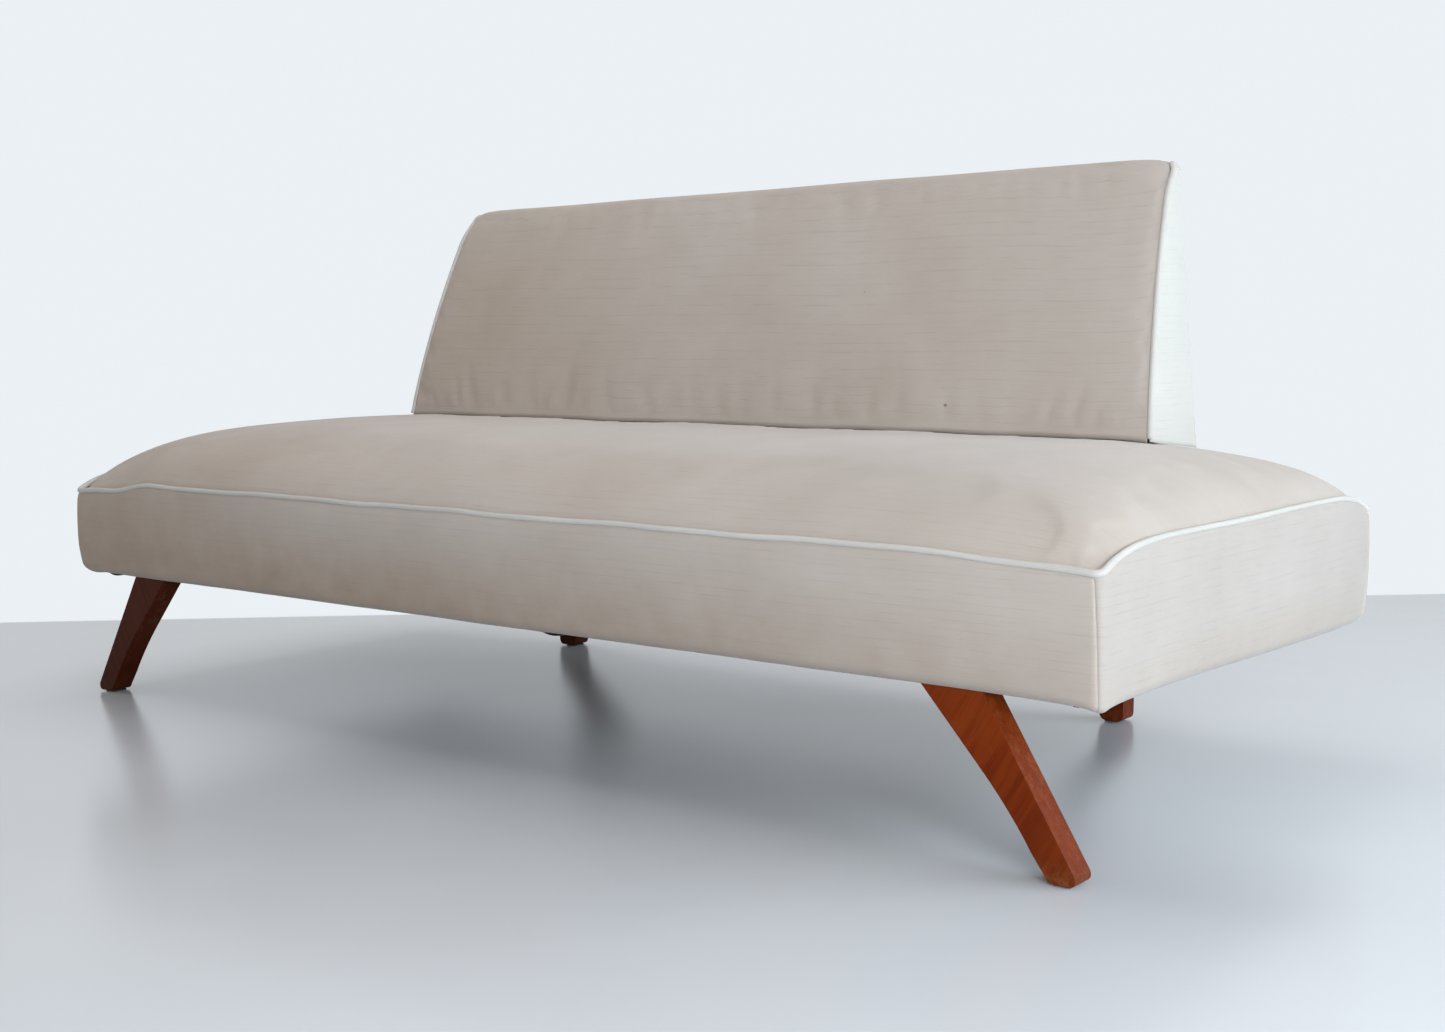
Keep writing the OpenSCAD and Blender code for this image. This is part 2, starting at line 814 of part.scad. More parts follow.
// Front view of the backrest; reach gives its half width at height z
module back_front_view(reach) {
    low = back_low_rear - 10;
    steps = 10;
    start = back_top_z - corner_r;
    half = concat(
        [[reach(low), low]],
        [
            for (i = [0 : steps])
                let (z = start + corner_r * sin(90 * i / steps)) [reach(z), z]
        ]
    );
    slab_y(sitting_depth - 20, wedge_depth + 40,
        concat(half, reversed([for (q = half) [-q[0], q[1]]])));
}

panel_t = 2;
seam_in = 8.6;           // the end panels stop this far from the line of the front
function bottom_z(d) =
    back_low_front + (d - sitting_depth) * (back_low_rear - back_low_front) / wedge_depth;

module back_front_panel() {
    color(cloth) place()
        intersection() {
            slab_x(-back_half_low, 2 * back_half_low,
                concat(front_line, reversed(inner_line(panel_t))));
            back_front_view(function (z) panel_side(z));
        }
}

// Upholstery between the webbing and the front panel
module back_padding() {
    web_t = 2.6;
    skin = panel_t + 0.1;
    front = [for (q = inner_line(skin)) if (q[1] > 457 && q[1] < 822 && q[0] < back_rear_d - 6) q];
    lean = (wedge_edge[1][0] - wedge_edge[0][0]) / (wedge_edge[1][1] - wedge_edge[0][1]);
    back = [
        [wedge_edge[0][0] - web_t + (457 - wedge_edge[0][1]) * lean, 457],
        [wedge_edge[1][0] - web_t, wedge_edge[1][1] + 0.5],
        [back_rear_d - 6, wedge_edge[1][1] + 0.5]
    ];
    color(felt) place()
        intersection() {
            slab_x(-back_half_low, 2 * back_half_low, concat(front, reversed(back)));
            back_front_view(function (z) panel_side(z) - 0.4);
        }
}

module back_rear_panel() {
    color(cloth) place()
        difference() {
            intersection() {
                block([-back_half_low, back_rear_d - panel_t, bottom_z(back_rear_d)],
                    [back_half_low, back_rear_d, cap_mid[1] - 2.5]);
                back_front_view(function (z) back_side(z) - 3);
            }
            mirror_pair()
                for (z = arm_screw_zs)
                    rod_y(arm_x, back_rear_d - panel_t - 1, z, arm_screw_r + fit_gap, 10);
        }
}

module back_bottom_panel() {
    half = back_half(back_low_front) - 9.5;
    d0 = sitting_depth + 9;
    d1 = back_rear_d - panel_t - 0.1;
    color(black_cloth) place()
        slab_x(-half, 2 * half, [
            [d0, bottom_z(d0)], [d1, bottom_z(d1)],
            [d1, bottom_z(d1) + panel_t], [d0, bottom_z(d0) + panel_t]
        ]);
}

// A wall that leans in with the end of the backrest, from depth t0 to t1 inside its face
module end_wall(t0, t1, z0, z1, outline) {
    intersection() {
        slab_x(0, back_half_low + 10, outline);
        slab_y(sitting_depth - 20, wedge_depth + 40, [
            [back_half(z0) - t1, z0], [back_half(z0) - t0, z0],
            [back_half(z1) - t0, z1], [back_half(z1) - t1, z1]
        ]);
    }
}

module gusset() {
    z1 = 803;
    inner = [for (q = inner_line(seam_in)) if (q[1] < z1 && q[1] > 457) q];
    edge_top = inner[len(inner) - 1];
    rear = back_rear_d - panel_t - 0.2;
    outline = concat(
        [[inner[0][0], bottom_z(inner[0][0])]],
        inner,
        [[edge_top[0] + 4, z1], [rear, z1], [rear, bottom_z(rear)]]
    );
    end_wall(0, 2.8, back_low_rear, z1, outline);
}

module back_gusset_right() { color(cloth) place() gusset(); }
module back_gusset_left() { color(cloth) place() mirror([1, 0, 0]) gusset(); }

wedge_board = [
    [wedge_edge[0][0] + 1.5, frame_low], wedge_edge[1], [frame_rear_d, frame_top],
    [frame_rear_d, frame_low]
];

module end_board() { end_wall(3.5, 18.5, frame_low, frame_top, wedge_board); }

module back_end_board_right() { color(pale_wood) place() end_board(); }
module back_end_board_left() { color(pale_wood) place() mirror([1, 0, 0]) end_board(); }

rib_t = 18;
rail_z = frame_top - 36;
frame_front_d = frame_rear_d - frame_t;

// The rib is notched behind for the top rail
module back_center_rib() {
    color(pale_wood) place()
        difference() {
            slab_x(-rib_t / 2, rib_t, wedge_board);
            block([-rib_t, frame_front_d - 0.1, rail_z - 0.1],
                [rib_t, frame_rear_d + 1, frame_top + 1]);
        }
}

module back_bottom_rail() {
    low = 458;
    half = back_half(low) - 7;
    color(pale_wood) place()
        block([-half, wedge_edge[0][0], low], [half, frame_rear_d, frame_low - 0.05]);
}

module back_top_rail() {
    half = back_half(frame_top) - 20;
    color(pale_wood) place()
        block([-half, frame_front_d, rail_z], [half, frame_rear_d, frame_top]);
}

module stile() {
    w = 60;
    difference() {
        block([arm_x - w / 2, frame_front_d, frame_low], [arm_x + w / 2, frame_rear_d, rail_z - 0.1]);
        for (z = arm_screw_zs)
            rod_y(arm_x, frame_rear_d - frame_t - 1, z, arm_screw_r + fit_gap, frame_t + 2);
    }
}

module back_stile_right() { color(pale_wood) place() stile(); }
module back_stile_left() { color(pale_wood) place() mirror([1, 0, 0]) stile(); }

// Four straps across the front edges of the end boards and the rib
module back_webbing() {
    strap_w = 50;
    strap_t = 2;
    run = wedge_edge[1] - wedge_edge[0];
    along = unit(run);
    out = side(along);
    color(jute) place()
        for (z = [505, 575, 645, 715]) {
            at = wedge_edge[0] + run * (z - wedge_edge[0][1]) / run[1] + 0.2 * out;
            half = back_half(z) - 6;
            slab_x(-half, 2 * half, [
                at - along * strap_w / 2, at + along * strap_w / 2,
                at + along * strap_w / 2 + out * strap_t, at - along * strap_w / 2 + out * strap_t
            ]);
        }
}

// Piping up the front edge of one end and over its top
module back_piping() {
    path = [
        for (q = inner_line(piping_bury)) [back_side(q[1]) - piping_bury, q[0], q[1]]
    ];
    cord(path, piping_r, false);
}

module back_piping_right() { color(white_cloth) place() back_piping(); }
module back_piping_left() { color(white_cloth) place() mirror([1, 0, 0]) back_piping(); }

// ---------- nodes ----------

seat_front_rail();
seat_rear_rail();
seat_left_rail();
seat_right_rail();
seat_cross_rail_left();
seat_cross_rail_center();
seat_cross_rail_right();
seat_corner_blocks();
seat_leg_blocks();
seat_springs();
seat_spring_clips();
seat_hessian();
seat_padding();
seat_top_panel();
seat_border_front();
seat_border_rear();
seat_border_left();
seat_border_right();
seat_piping();
seat_dust_cover();
front_leg_left();
front_leg_right();
front_leg_plates();
front_leg_bolts();
front_glides();
guide_front_left();
guide_front_right();
guide_rear_left();
guide_rear_right();
guide_screws();
rear_beam();
runner_left();
runner_right();
runner_stops();
stop_screws();
runner_bolts();
rear_leg_left();
rear_leg_right();
rear_glides();
support_arm_left();
support_arm_right();
arm_bolts();
arm_nuts();
arm_screws();
back_bottom_rail();
back_top_rail();
back_stile_left();
back_stile_right();
back_end_board_left();
back_end_board_right();
back_center_rib();
back_webbing();
back_padding();
back_front_panel();
back_rear_panel();
back_bottom_panel();
back_gusset_left();
back_gusset_right();
back_piping_left();
back_piping_right();
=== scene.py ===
import math

import bpy
import numpy as np
from mathutils import Matrix, Vector, noise


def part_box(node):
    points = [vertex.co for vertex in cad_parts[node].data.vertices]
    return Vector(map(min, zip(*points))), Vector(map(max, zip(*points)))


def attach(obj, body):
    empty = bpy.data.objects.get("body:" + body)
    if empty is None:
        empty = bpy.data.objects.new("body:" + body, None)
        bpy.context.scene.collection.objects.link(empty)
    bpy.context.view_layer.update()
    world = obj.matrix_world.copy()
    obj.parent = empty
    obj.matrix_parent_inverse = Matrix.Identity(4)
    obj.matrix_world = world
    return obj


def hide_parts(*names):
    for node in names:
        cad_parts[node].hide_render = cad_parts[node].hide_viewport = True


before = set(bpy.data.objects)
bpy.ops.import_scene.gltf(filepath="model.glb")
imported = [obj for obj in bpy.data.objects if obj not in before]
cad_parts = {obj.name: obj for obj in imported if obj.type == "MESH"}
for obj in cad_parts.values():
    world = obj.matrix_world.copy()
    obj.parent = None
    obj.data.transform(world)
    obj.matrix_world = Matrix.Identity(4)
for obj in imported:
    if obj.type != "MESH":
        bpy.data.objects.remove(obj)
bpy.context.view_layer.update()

# All lengths are in metres. Depths are measured from the front of the seat, as in the CAD.
SEAT_LOW, SEAT_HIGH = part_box("seat_piping")
FRONT_Y = SEAT_LOW[1]
SEAT_DEPTH = SEAT_HIGH[1] - SEAT_LOW[1]
MID_D = SEAT_DEPTH / 2
PIPE_STAND = 0.0015              # how far the piping stands out of the border's face
HALF_X = SEAT_HIGH[0] - PIPE_STAND
HALF_D = MID_D - PIPE_STAND
PIPE_Z = 0.358                   # the piping's axis at the middle of the front edge
END_LIFT = 0.0155                # how much higher the piping runs at both ends
CORNER_DROP = 0.012              # how much lower it is at a rear corner, half at a front one
DIP_LEFT = 0.012                 # how far the front piping dips towards the left corner
DIP_RIGHT = 0.005
CROWN = 0.096                    # rise of the padded top above the piping
TUCK = 0.004                     # how far the top cloth's edge lies below the piping's axis
RIM_IN = 0.0070                  # the top cloth meets the border this far inside its face
PLAN_R = 0.011                   # radius of the border's corners, seen from above
UNDER_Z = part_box("seat_border_front")[0][2]
CLOTH_LOW = UNDER_Z - 0.0024     # the lowest point of the border's cloth
TURN_UNDER = 0.040               # how far the border's cloth is turned in under the seat
LINING_LOWEST = 0.2038           # the lining sags no lower than this
CROSS_PITCH = 0.34               # distance between the cross rails

_, BACK_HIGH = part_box("back_rear_panel")
BACK_REAR_D = BACK_HIGH[1] - FRONT_Y
BACK_TOP_Z = 0.833
SITTING_D = 0.566                # depth of the seat in front of the backrest
WEDGE_D = BACK_REAR_D - SITTING_D
BACK_FRONT_Z = 0.454             # the wedge's lower edge at its front and at its rear
BACK_REAR_Z = 0.438
BACK_HALF_LOW = 0.737            # half width at TAPER_FROM_Z, and TAPER_RISE above it
BACK_HALF_HIGH = 0.703
TAPER_FROM_Z = 0.452
TAPER_RISE = 0.344
CAP_R = 0.014                    # radius of the wedge's top edge, seen from the end
BACK_CORNER_R = 0.013            # radius of the top corners, seen from the front
BACK_PIPE_R = 0.0041
LEAN_RIGHT = 0.0035              # how far the top is shifted to the right
TILT = 0.0110                    # how much the top rises for each metre to the right
PRESS_BACK = 0.016               # how far the top corners are pressed back and down
PRESS_DOWN = 0.008
ARM_X = 0.45                     # distance of the support arms from the middle

SETTLE_FRAMES = 12


# ---------- meshes ----------

def piece(name, points, faces, body, material, stands_for=()):
    """A smooth mesh that rides on a CAD body and stands for CAD nodes."""
    mesh = bpy.data.meshes.new(name)
    mesh.from_pydata([tuple(p) for p in points], [], faces)
    mesh.shade_smooth()
    mesh.materials.append(material)
    mesh.validate()
    obj = bpy.data.objects.new(name, mesh)
    bpy.context.scene.collection.objects.link(obj)
    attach(obj, body)
    if stands_for:
        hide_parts(*stands_for)
    return obj


def grid_faces(rows, cols, first=0, flip=False, wrap=False):
    """Quads between rows of cols points each; wrap joins the last row to the first."""
    faces = []
    for i in range(rows if wrap else rows - 1):
        for j in range(cols - 1):
            a = first + i * cols + j
            b = first + ((i + 1) % rows) * cols + j
            quad = (a, a + 1, b + 1, b)
            faces.append(quad[::-1] if flip else quad)
    return faces


def wobble(p, scale, seed=0.0):
    """Smooth noise from about -1 to 1 at point p."""
    return noise.noise(Vector((p[0] * scale + seed, p[1] * scale - seed, p[2] * scale + 2 * seed)))


def shell(obj, thickness):
    """Gives an open sheet its thickness, inwards."""
    solid = obj.modifiers.new("thickness", "SOLIDIFY")
    solid.thickness = thickness
    solid.offset = -1
    solid.use_even_offset = False


def row_point(x, depth, z):
    return (x, FRONT_Y + depth, z)


def unit(v):
    return v / np.linalg.norm(v, axis=-1, keepdims=True)


def tube(path, radii, ref, sides=14, closed=False):
    """Points and faces of a round cord through path; ref is never parallel to it."""
    path = np.asarray(path, float)
    if closed:
        ahead, behind = np.roll(path, -1, 0), np.roll(path, 1, 0)
    else:
        ahead = np.vstack([path[1:], path[-1:]])
        behind = np.vstack([path[:1], path[:-1]])
    along = unit(ahead - behind)
    out = unit(np.cross(along, np.asarray(ref, float)))
    up = np.cross(out, along)
    turn = 2 * math.pi * np.arange(sides) / sides
    ring = (np.cos(turn)[None, :, None] * out[:, None, :]
            + np.sin(turn)[None, :, None] * up[:, None, :])
    points = (path[:, None, :] + np.asarray(radii)[:, None, None] * ring).reshape(-1, 3)
    count = len(path)
    faces = []
    for i in range(count if closed else count - 1):
        for k in range(sides):
            a, b = i * sides + k, i * sides + (k + 1) % sides
            c, d = ((i + 1) % count) * sides + (k + 1) % sides, ((i + 1) % count) * sides + k
            faces.append((a, b, c, d))
    if not closed:
        faces.append(tuple(range(sides))[::-1])
        faces.append(tuple((count - 1) * sides + k for k in range(sides)))
    return points, faces


def smooth_step(edge0, edge1, x):
    t = np.clip((x - edge0) / (edge1 - edge0), 0, 1)
    return t * t * (3 - 2 * t)


# ---------- materials ----------

class Shader:
    """A node material under construction."""

    def __init__(self, name):
        self.material = bpy.data.materials.new(name)
        self.material.use_nodes = True
        self.tree = self.material.node_tree
        self.surface = self.tree.nodes["Principled BSDF"]

    def node(self, kind, inputs=None, **settings):
        made = self.tree.nodes.new(kind)
        for key, value in settings.items():
            setattr(made, key, value)
        for key, value in (inputs or {}).items():
            self.feed(made.inputs[key], value)
        return made

    def feed(self, socket, value):
        if isinstance(value, bpy.types.NodeSocket):
            self.tree.links.new(value, socket)
        else:
            socket.default_value = value

    def set(self, **inputs):
        for key, value in inputs.items():
            self.feed(self.surface.inputs[key.replace("_", " ")], value)

    def math(self, operation, a, b=0.0, clamp=False):
        return self.node("ShaderNodeMath", {0: a, 1: b}, operation=operation,
                         use_clamp=clamp).outputs[0]

    def place(self):
        return self.node("ShaderNodeTexCoord").outputs["Object"]

    def mapped(self, scale, tilt=(0, 0, 0), source=None):
        """The object's own coordinates, turned and scaled."""
        turned = self.node("ShaderNodeMapping",
                           {"Vector": source or self.place(), "Rotation": tilt})
        return self.node("ShaderNodeMapping",
                         {"Vector": turned.outputs[0], "Scale": scale}).outputs[0]

    def noise(self, vector, scale, detail=2.0, rough=0.5, distort=0.0):
        return self.node("ShaderNodeTexNoise", {
            "Vector": vector, "Scale": scale, "Detail": detail, "Roughness": rough,
            "Distortion": distort}).outputs[0]

    def span(self, value, low, high, to_low=0.0, to_high=1.0):
        """value from low..high to to_low..to_high, held at both ends."""
        return self.node("ShaderNodeMapRange", {
            0: value, 1: low, 2: high, 3: to_low, 4: to_high}, clamp=True).outputs[0]

    def mix(self, factor, a, b):
        made = self.node("ShaderNodeMix", data_type="RGBA")
        self.feed(made.inputs[0], factor)
        self.feed(made.inputs[6], (*a, 1) if isinstance(a, tuple) else a)
        self.feed(made.inputs[7], (*b, 1) if isinstance(b, tuple) else b)
        return made.outputs[2]

    def bump(self, height, distance, strength=1.0, under=None):
        inputs = {"Height": height, "Distance": distance, "Strength": strength}
        if under is not None:
            inputs["Normal"] = under
        return self.node("ShaderNodeBump", inputs).outputs[0]

    def axes(self):
        split = self.node("ShaderNodeSeparateXYZ", {0: self.place()})
        return split.outputs[0], split.outputs[1], split.outputs[2]

    def spot(self, centre, size):
        """1 at centre, falling to 0 over size; size is one number for each axis."""
        shifted = self.node("ShaderNodeVectorMath", {0: self.place(), 1: centre},
                            operation="SUBTRACT")
        shrunk = self.node("ShaderNodeVectorMath", {0: shifted.outputs[0], 1: size},
                           operation="DIVIDE")
        length = self.node("ShaderNodeVectorMath", {0: shrunk.outputs[0]}, operation="LENGTH")
        return self.span(length.outputs["Value"], 0.2, 1.0, 1.0, 0.0)


LINE_GAP = 0.0102                # between the thin dark lines woven along the cloth


def ribbed_cloth(name, dark, light, along, across, stains_and_painted_shade=()):
    """Greige velvet-like cloth with fine ribs; along and across are axis numbers or a
    pair (axis, axis) whose difference is taken. The listed patches are stains in some places and
    painted shade in others."""
    s = Shader(name)
    axes = s.axes()
    run = axes[along]
    rise = (s.math("SUBTRACT", axes[across[0]], axes[across[1]])
            if isinstance(across, tuple) else axes[across])
    flat = s.node("ShaderNodeCombineXYZ", {0: run, 1: rise}).outputs[0]
    streak = s.noise(s.mapped((11, 420, 1), source=flat), 1.0, 3.0, 0.6)
    fine = s.noise(s.mapped((60, 1500, 1), source=flat), 1.0, 2.0, 0.6)
    gaps = s.noise(s.mapped((17, 95, 1), source=flat), 1.0, 2.0, 0.55)
    drift = s.math("MULTIPLY", s.noise(s.mapped((3, 3, 3)), 1.0, 1.0), 0.006)
    comb = s.math("COSINE", s.math("MULTIPLY", s.math("ADD", rise, drift),
                                   2 * math.pi / LINE_GAP))
    line = s.math("MULTIPLY", s.span(comb, 0.86, 0.99), s.span(gaps, 0.42, 0.62))
    broad = s.noise(s.place(), 4.5, 3.0, 0.55)
    nap = s.noise(s.place(), 19.0, 4.0, 0.6)
    tone = s.mix(s.span(broad, 0.32, 0.68), dark, light)
    tone = s.mix(s.span(nap, 0.35, 0.7, 0.0, 0.10), tone, tuple(0.86 * c for c in dark))
    tone = s.mix(s.span(streak, 0.5, 0.75, 0.0, 0.16), tone, tuple(0.7 * c for c in dark))
    tone = s.mix(s.math("MULTIPLY", line, 0.17), tone, tuple(0.6 * c for c in dark))
    tone = s.mix(s.span(fine, 0.3, 0.7, 0.0, 0.12), tone, tuple(min(1.0, 1.2 * c) for c in light))
    # Patches of other colour: stains in some places, painted shade in others.
    for centre, size, colour, amount in stains_and_painted_shade:
        spot = s.math("MULTIPLY", s.spot(centre, size), s.span(nap, 0.3, 0.7, 0.7, 1.0))
        tone = s.mix(s.math("MULTIPLY", spot, amount), tone, colour)
    fuzz = s.noise(s.place(), 900.0, 3.0, 0.6)
    soft = s.noise(s.place(), 14.0, 3.0, 0.5)
    normal = s.bump(soft, 0.004, 0.35)
    normal = s.bump(s.math("SUBTRACT", 1.0, line), 0.0004, 0.35, normal)
    normal = s.bump(s.math("ADD", fuzz, fine), 0.0006, 0.4, normal)
    s.set(Base_Color=tone, Roughness=s.span(nap, 0.3, 0.7, 0.86, 0.97), Normal=normal,
          Sheen_Weight=0.22, Sheen_Roughness=0.45, Sheen_Tint=(0.93, 0.95, 1.0, 1.0),
          Specular_IOR_Level=0.25)
    return s.material


def plain_cloth(name, dark, light, thread):
    """Tightly woven white cloth."""
    s = Shader(name)
    x, y, z = s.axes()
    run = s.math("ADD", x, y)
    warp = s.math("SINE", s.math("MULTIPLY", run, math.pi / thread))
    weft = s.math("SINE", s.math("MULTIPLY", z, math.pi / thread))
    weave = s.math("MULTIPLY", warp, weft)
    broad = s.noise(s.place(), 6.0, 4.0, 0.55)
    slub = s.noise(s.mapped((14, 14, 330)), 1.0, 2.0, 0.5)
    fuzz = s.noise(s.place(), 1100.0, 2.0, 0.6)
    tone = s.mix(s.span(broad, 0.3, 0.7), dark, light)
    tone = s.mix(s.span(slub, 0.55, 0.75, 0.0, 0.25), tone, tuple(0.86 * c for c in dark))
    soft = s.noise(s.place(), 17.0, 3.0, 0.5)
    normal = s.bump(soft, 0.003, 0.35)
    normal = s.bump(weave, 0.0002, 0.35, normal)
    normal = s.bump(fuzz, 0.0005, 0.4, normal)
    s.set(Base_Color=tone, Roughness=s.span(fuzz, 0.3, 0.7, 0.8, 0.95), Normal=normal,
          Sheen_Weight=0.12, Sheen_Roughness=0.5, Specular_IOR_Level=0.3)
    return s.material


def stained_wood(name, tilt, shade):
    """Orange-brown hardwood with its grain tilted from upright about Y, worn at the foot and
    darker towards the floor as painted shade; shade scales every colour, and below 1 it paints the
    shade of legs that stand in shadow."""
    def stain_times_shade(*colour):
        return tuple(shade * c for c in colour)

    s = Shader(name)
    grain_space = s.mapped((26, 26, 1.6), (0, tilt, 0))
    warped = s.noise(grain_space, 1.0, 4.0, 0.6, 0.6)
    bands = s.math("SINE", s.math("MULTIPLY", warped, 34.0))
    pores = s.noise(s.mapped((520, 520, 14), (0, tilt, 0)), 1.0, 2.0, 0.6)
    broad = s.noise(s.place(), 9.0, 3.0, 0.5)
    _, _, z = s.axes()
    tone = s.mix(s.span(bands, -0.9, 0.9), stain_times_shade(0.115, 0.0145, 0.0012),
                 stain_times_shade(0.15, 0.022, 0.0022))
    tone = s.mix(s.span(broad, 0.4, 0.7, 0.0, 0.5), tone, stain_times_shade(0.20, 0.038, 0.005))
    tone = s.mix(s.span(pores, 0.55, 0.75, 0.0, 0.4), tone, stain_times_shade(0.05, 0.007, 0.001))
    chips = s.noise(s.place(), 95.0, 4.0, 0.7)
    edge = s.node("ShaderNodeNewGeometry").outputs["Pointiness"]
    worn = s.math("MULTIPLY", s.span(edge, 0.515, 0.60), s.span(chips, 0.48, 0.66))
    foot = s.math("MULTIPLY", s.span(z, 0.004, 0.03, 1.0, 0.0), s.span(chips, 0.42, 0.6))
    tone = s.mix(s.math("MULTIPLY", s.math("MAXIMUM", worn, foot), 0.22), tone,
                 stain_times_shade(0.42, 0.23, 0.11))
    # Painted shade: the wood gets darker towards the floor, near the foot.
    tone = s.mix(s.span(z, 0.0, 0.13, 0.38, 0.0), tone, stain_times_shade(0.06, 0.006, 0.001))
    normal = s.bump(s.math("ADD", pores, s.math("MULTIPLY", bands, 0.3)), 0.0006, 0.35)
    s.set(Base_Color=tone, Roughness=s.span(pores, 0.3, 0.75, 0.30, 0.52), Normal=normal,
          Specular_IOR_Level=0.07)
    return s.material


def pale_wood(name, grain_axis):
    """Sawn softwood for the hidden frame; the grain runs along one axis."""
    s = Shader(name)
    scale = [24.0, 24.0, 24.0]
    scale[grain_axis] = 1.1
    warped = s.noise(s.mapped(tuple(scale)), 1.0, 4.0, 0.6, 0.8)
    bands = s.math("SINE", s.math("MULTIPLY", warped, 26.0))
    pore_scale = [420.0, 420.0, 420.0]
    pore_scale[grain_axis] = 9.0
    pores = s.noise(s.mapped(tuple(pore_scale)), 1.0, 2.0, 0.6)
    tone = s.mix(s.span(bands, -0.9, 0.9), (0.42, 0.26, 0.12), (0.66, 0.47, 0.26))
    tone = s.mix(s.span(pores, 0.55, 0.8, 0.0, 0.4), tone, (0.27, 0.15, 0.07))
    normal = s.bump(s.math("ADD", pores, bands), 0.0006, 0.3)
    s.set(Base_Color=tone, Roughness=s.span(pores, 0.3, 0.7, 0.55, 0.75), Normal=normal)
    return s.material


def metal(name, dark, light, roughness, metallic, grain=260.0):
    s = Shader(name)
    speckle = s.noise(s.place(), grain, 3.0, 0.6)
    broad = s.noise(s.place(), 22.0, 3.0, 0.5)
    tone = s.mix(s.span(broad, 0.3, 0.7), dark, light)
    s.set(Base_Color=tone, Metallic=metallic,
          Roughness=s.span(speckle, 0.3, 0.7, roughness - 0.08, roughness + 0.1),
          Normal=s.bump(speckle, 0.0003, 0.3))
    return s.material


def coarse_weave(name, dark, light, thread, roughness=0.95):
    """Jute, felt and lining: crossed threads with loose fibres."""
    s = Shader(name)
    x, y, z = s.axes()
    warp = s.math("SINE", s.math("MULTIPLY", x, math.pi / thread))
    weft = s.math("SINE", s.math("MULTIPLY", s.math("ADD", y, z), math.pi / thread))
    weave = s.math("MULTIPLY", warp, weft)
    fibre = s.noise(s.place(), 700.0, 3.0, 0.65)
    broad = s.noise(s.place(), 12.0, 3.0, 0.5)
    tone = s.mix(s.span(weave, -0.8, 0.8), dark, light)
    tone = s.mix(s.span(broad, 0.3, 0.7, 0.0, 0.4), tone, dark)
    tone = s.mix(s.span(fibre, 0.5, 0.8, 0.0, 0.4), tone, light)
    normal = s.bump(weave, 0.0005, 0.6)
    normal = s.bump(fibre, 0.0004, 0.5, normal)
    s.set(Base_Color=tone, Roughness=s.span(fibre, 0.3, 0.7, roughness - 0.07, roughness),
          Normal=normal, Sheen_Weight=0.1)
    return s.material


GREIGE_DARK = (0.410, 0.365, 0.330)
GREIGE_LIGHT = (0.455, 0.415, 0.385)
BROWN = (0.30, 0.21, 0.13)

# Patches: browner at the front left, partly a stain and partly painted warm shade; faintly browner
# in the middle; greyer towards the right.
top_cloth = ribbed_cloth(
    "top_cloth", GREIGE_DARK, GREIGE_LIGHT, 0, 1,
    [((-0.60, FRONT_Y + 0.06, 0.40), (0.40, 0.20, 0.2), BROWN, 0.22),
     ((0.10, FRONT_Y + 0.12, 0.43), (0.28, 0.10, 0.2), BROWN, 0.08),
     ((0.66, FRONT_Y + 0.22, 0.45), (0.30, 0.30, 0.2), (0.37, 0.35, 0.34), 0.30)])
# Patches: browner at the left end, partly a stain and partly painted warm shade; a brown spot;
# darker and browner towards the bottom along the whole front; a faint brown patch.
front_cloth = ribbed_cloth(
    "front_cloth", GREIGE_DARK, GREIGE_LIGHT, 0, 2,
    [((-0.85, FRONT_Y, 0.24), (0.60, 0.2, 0.28), (0.30, 0.19, 0.10), 0.40),
     ((-0.42, FRONT_Y, 0.22), (0.10, 0.1, 0.05), BROWN, 0.30),
     ((-0.1, FRONT_Y, 0.19), (1.5, 0.2, 0.15), (0.26, 0.20, 0.15), 0.80),
     ((-0.25, FRONT_Y, 0.24), (0.35, 0.1, 0.07), BROWN, 0.14)])
# Patches: two small dark marks, and browner on the left, partly a stain and partly painted warm
# shade.
back_cloth = ribbed_cloth(
    "back_cloth", GREIGE_DARK, GREIGE_LIGHT, 0, (2, 1),
    [((0.41, FRONT_Y + 0.575, 0.492), (0.004, 0.03, 0.003), (0.06, 0.05, 0.05), 0.8),
     ((0.24, FRONT_Y + 0.63, 0.66), (0.003, 0.03, 0.003), (0.14, 0.11, 0.10), 0.6),
     ((-0.62, FRONT_Y + 0.62, 0.62), (0.45, 0.3, 0.35), (0.36, 0.28, 0.19), 0.30)])
rear_cloth = ribbed_cloth("rear_cloth", GREIGE_DARK, GREIGE_LIGHT, 0, 2)
# The same greige cloth made darker and cooler for the seat's ends: painted shade; it is browner
# towards the bottom of the right end.
end_cloth_painted_shade = ribbed_cloth("end_cloth_painted_shade", (0.375, 0.348, 0.325), (0.415, 0.388, 0.365), 1, 2,
                         [((0.95, 0.0, UNDER_Z), (0.2, 0.6, 0.06), BROWN, 0.22)])
# The same greige cloth made paler and greyer for the backrest's ends: painted light standing in for
# the strong side light.
gusset_cloth_painted_light = ribbed_cloth("gusset_cloth_painted_light", (0.50, 0.50, 0.48), (0.54, 0.54, 0.52), 1, 2)
piping_cloth = plain_cloth("piping_cloth", (0.48, 0.475, 0.46), (0.54, 0.535, 0.52), 0.0009)
lining = coarse_weave("black_lining", (0.012, 0.012, 0.014), (0.035, 0.035, 0.04), 0.0008)
jute = coarse_weave("jute", (0.24, 0.16, 0.08), (0.50, 0.37, 0.20), 0.0019)
wood_right = stained_wood("stained_wood_right", math.radians(-31), 1.0)
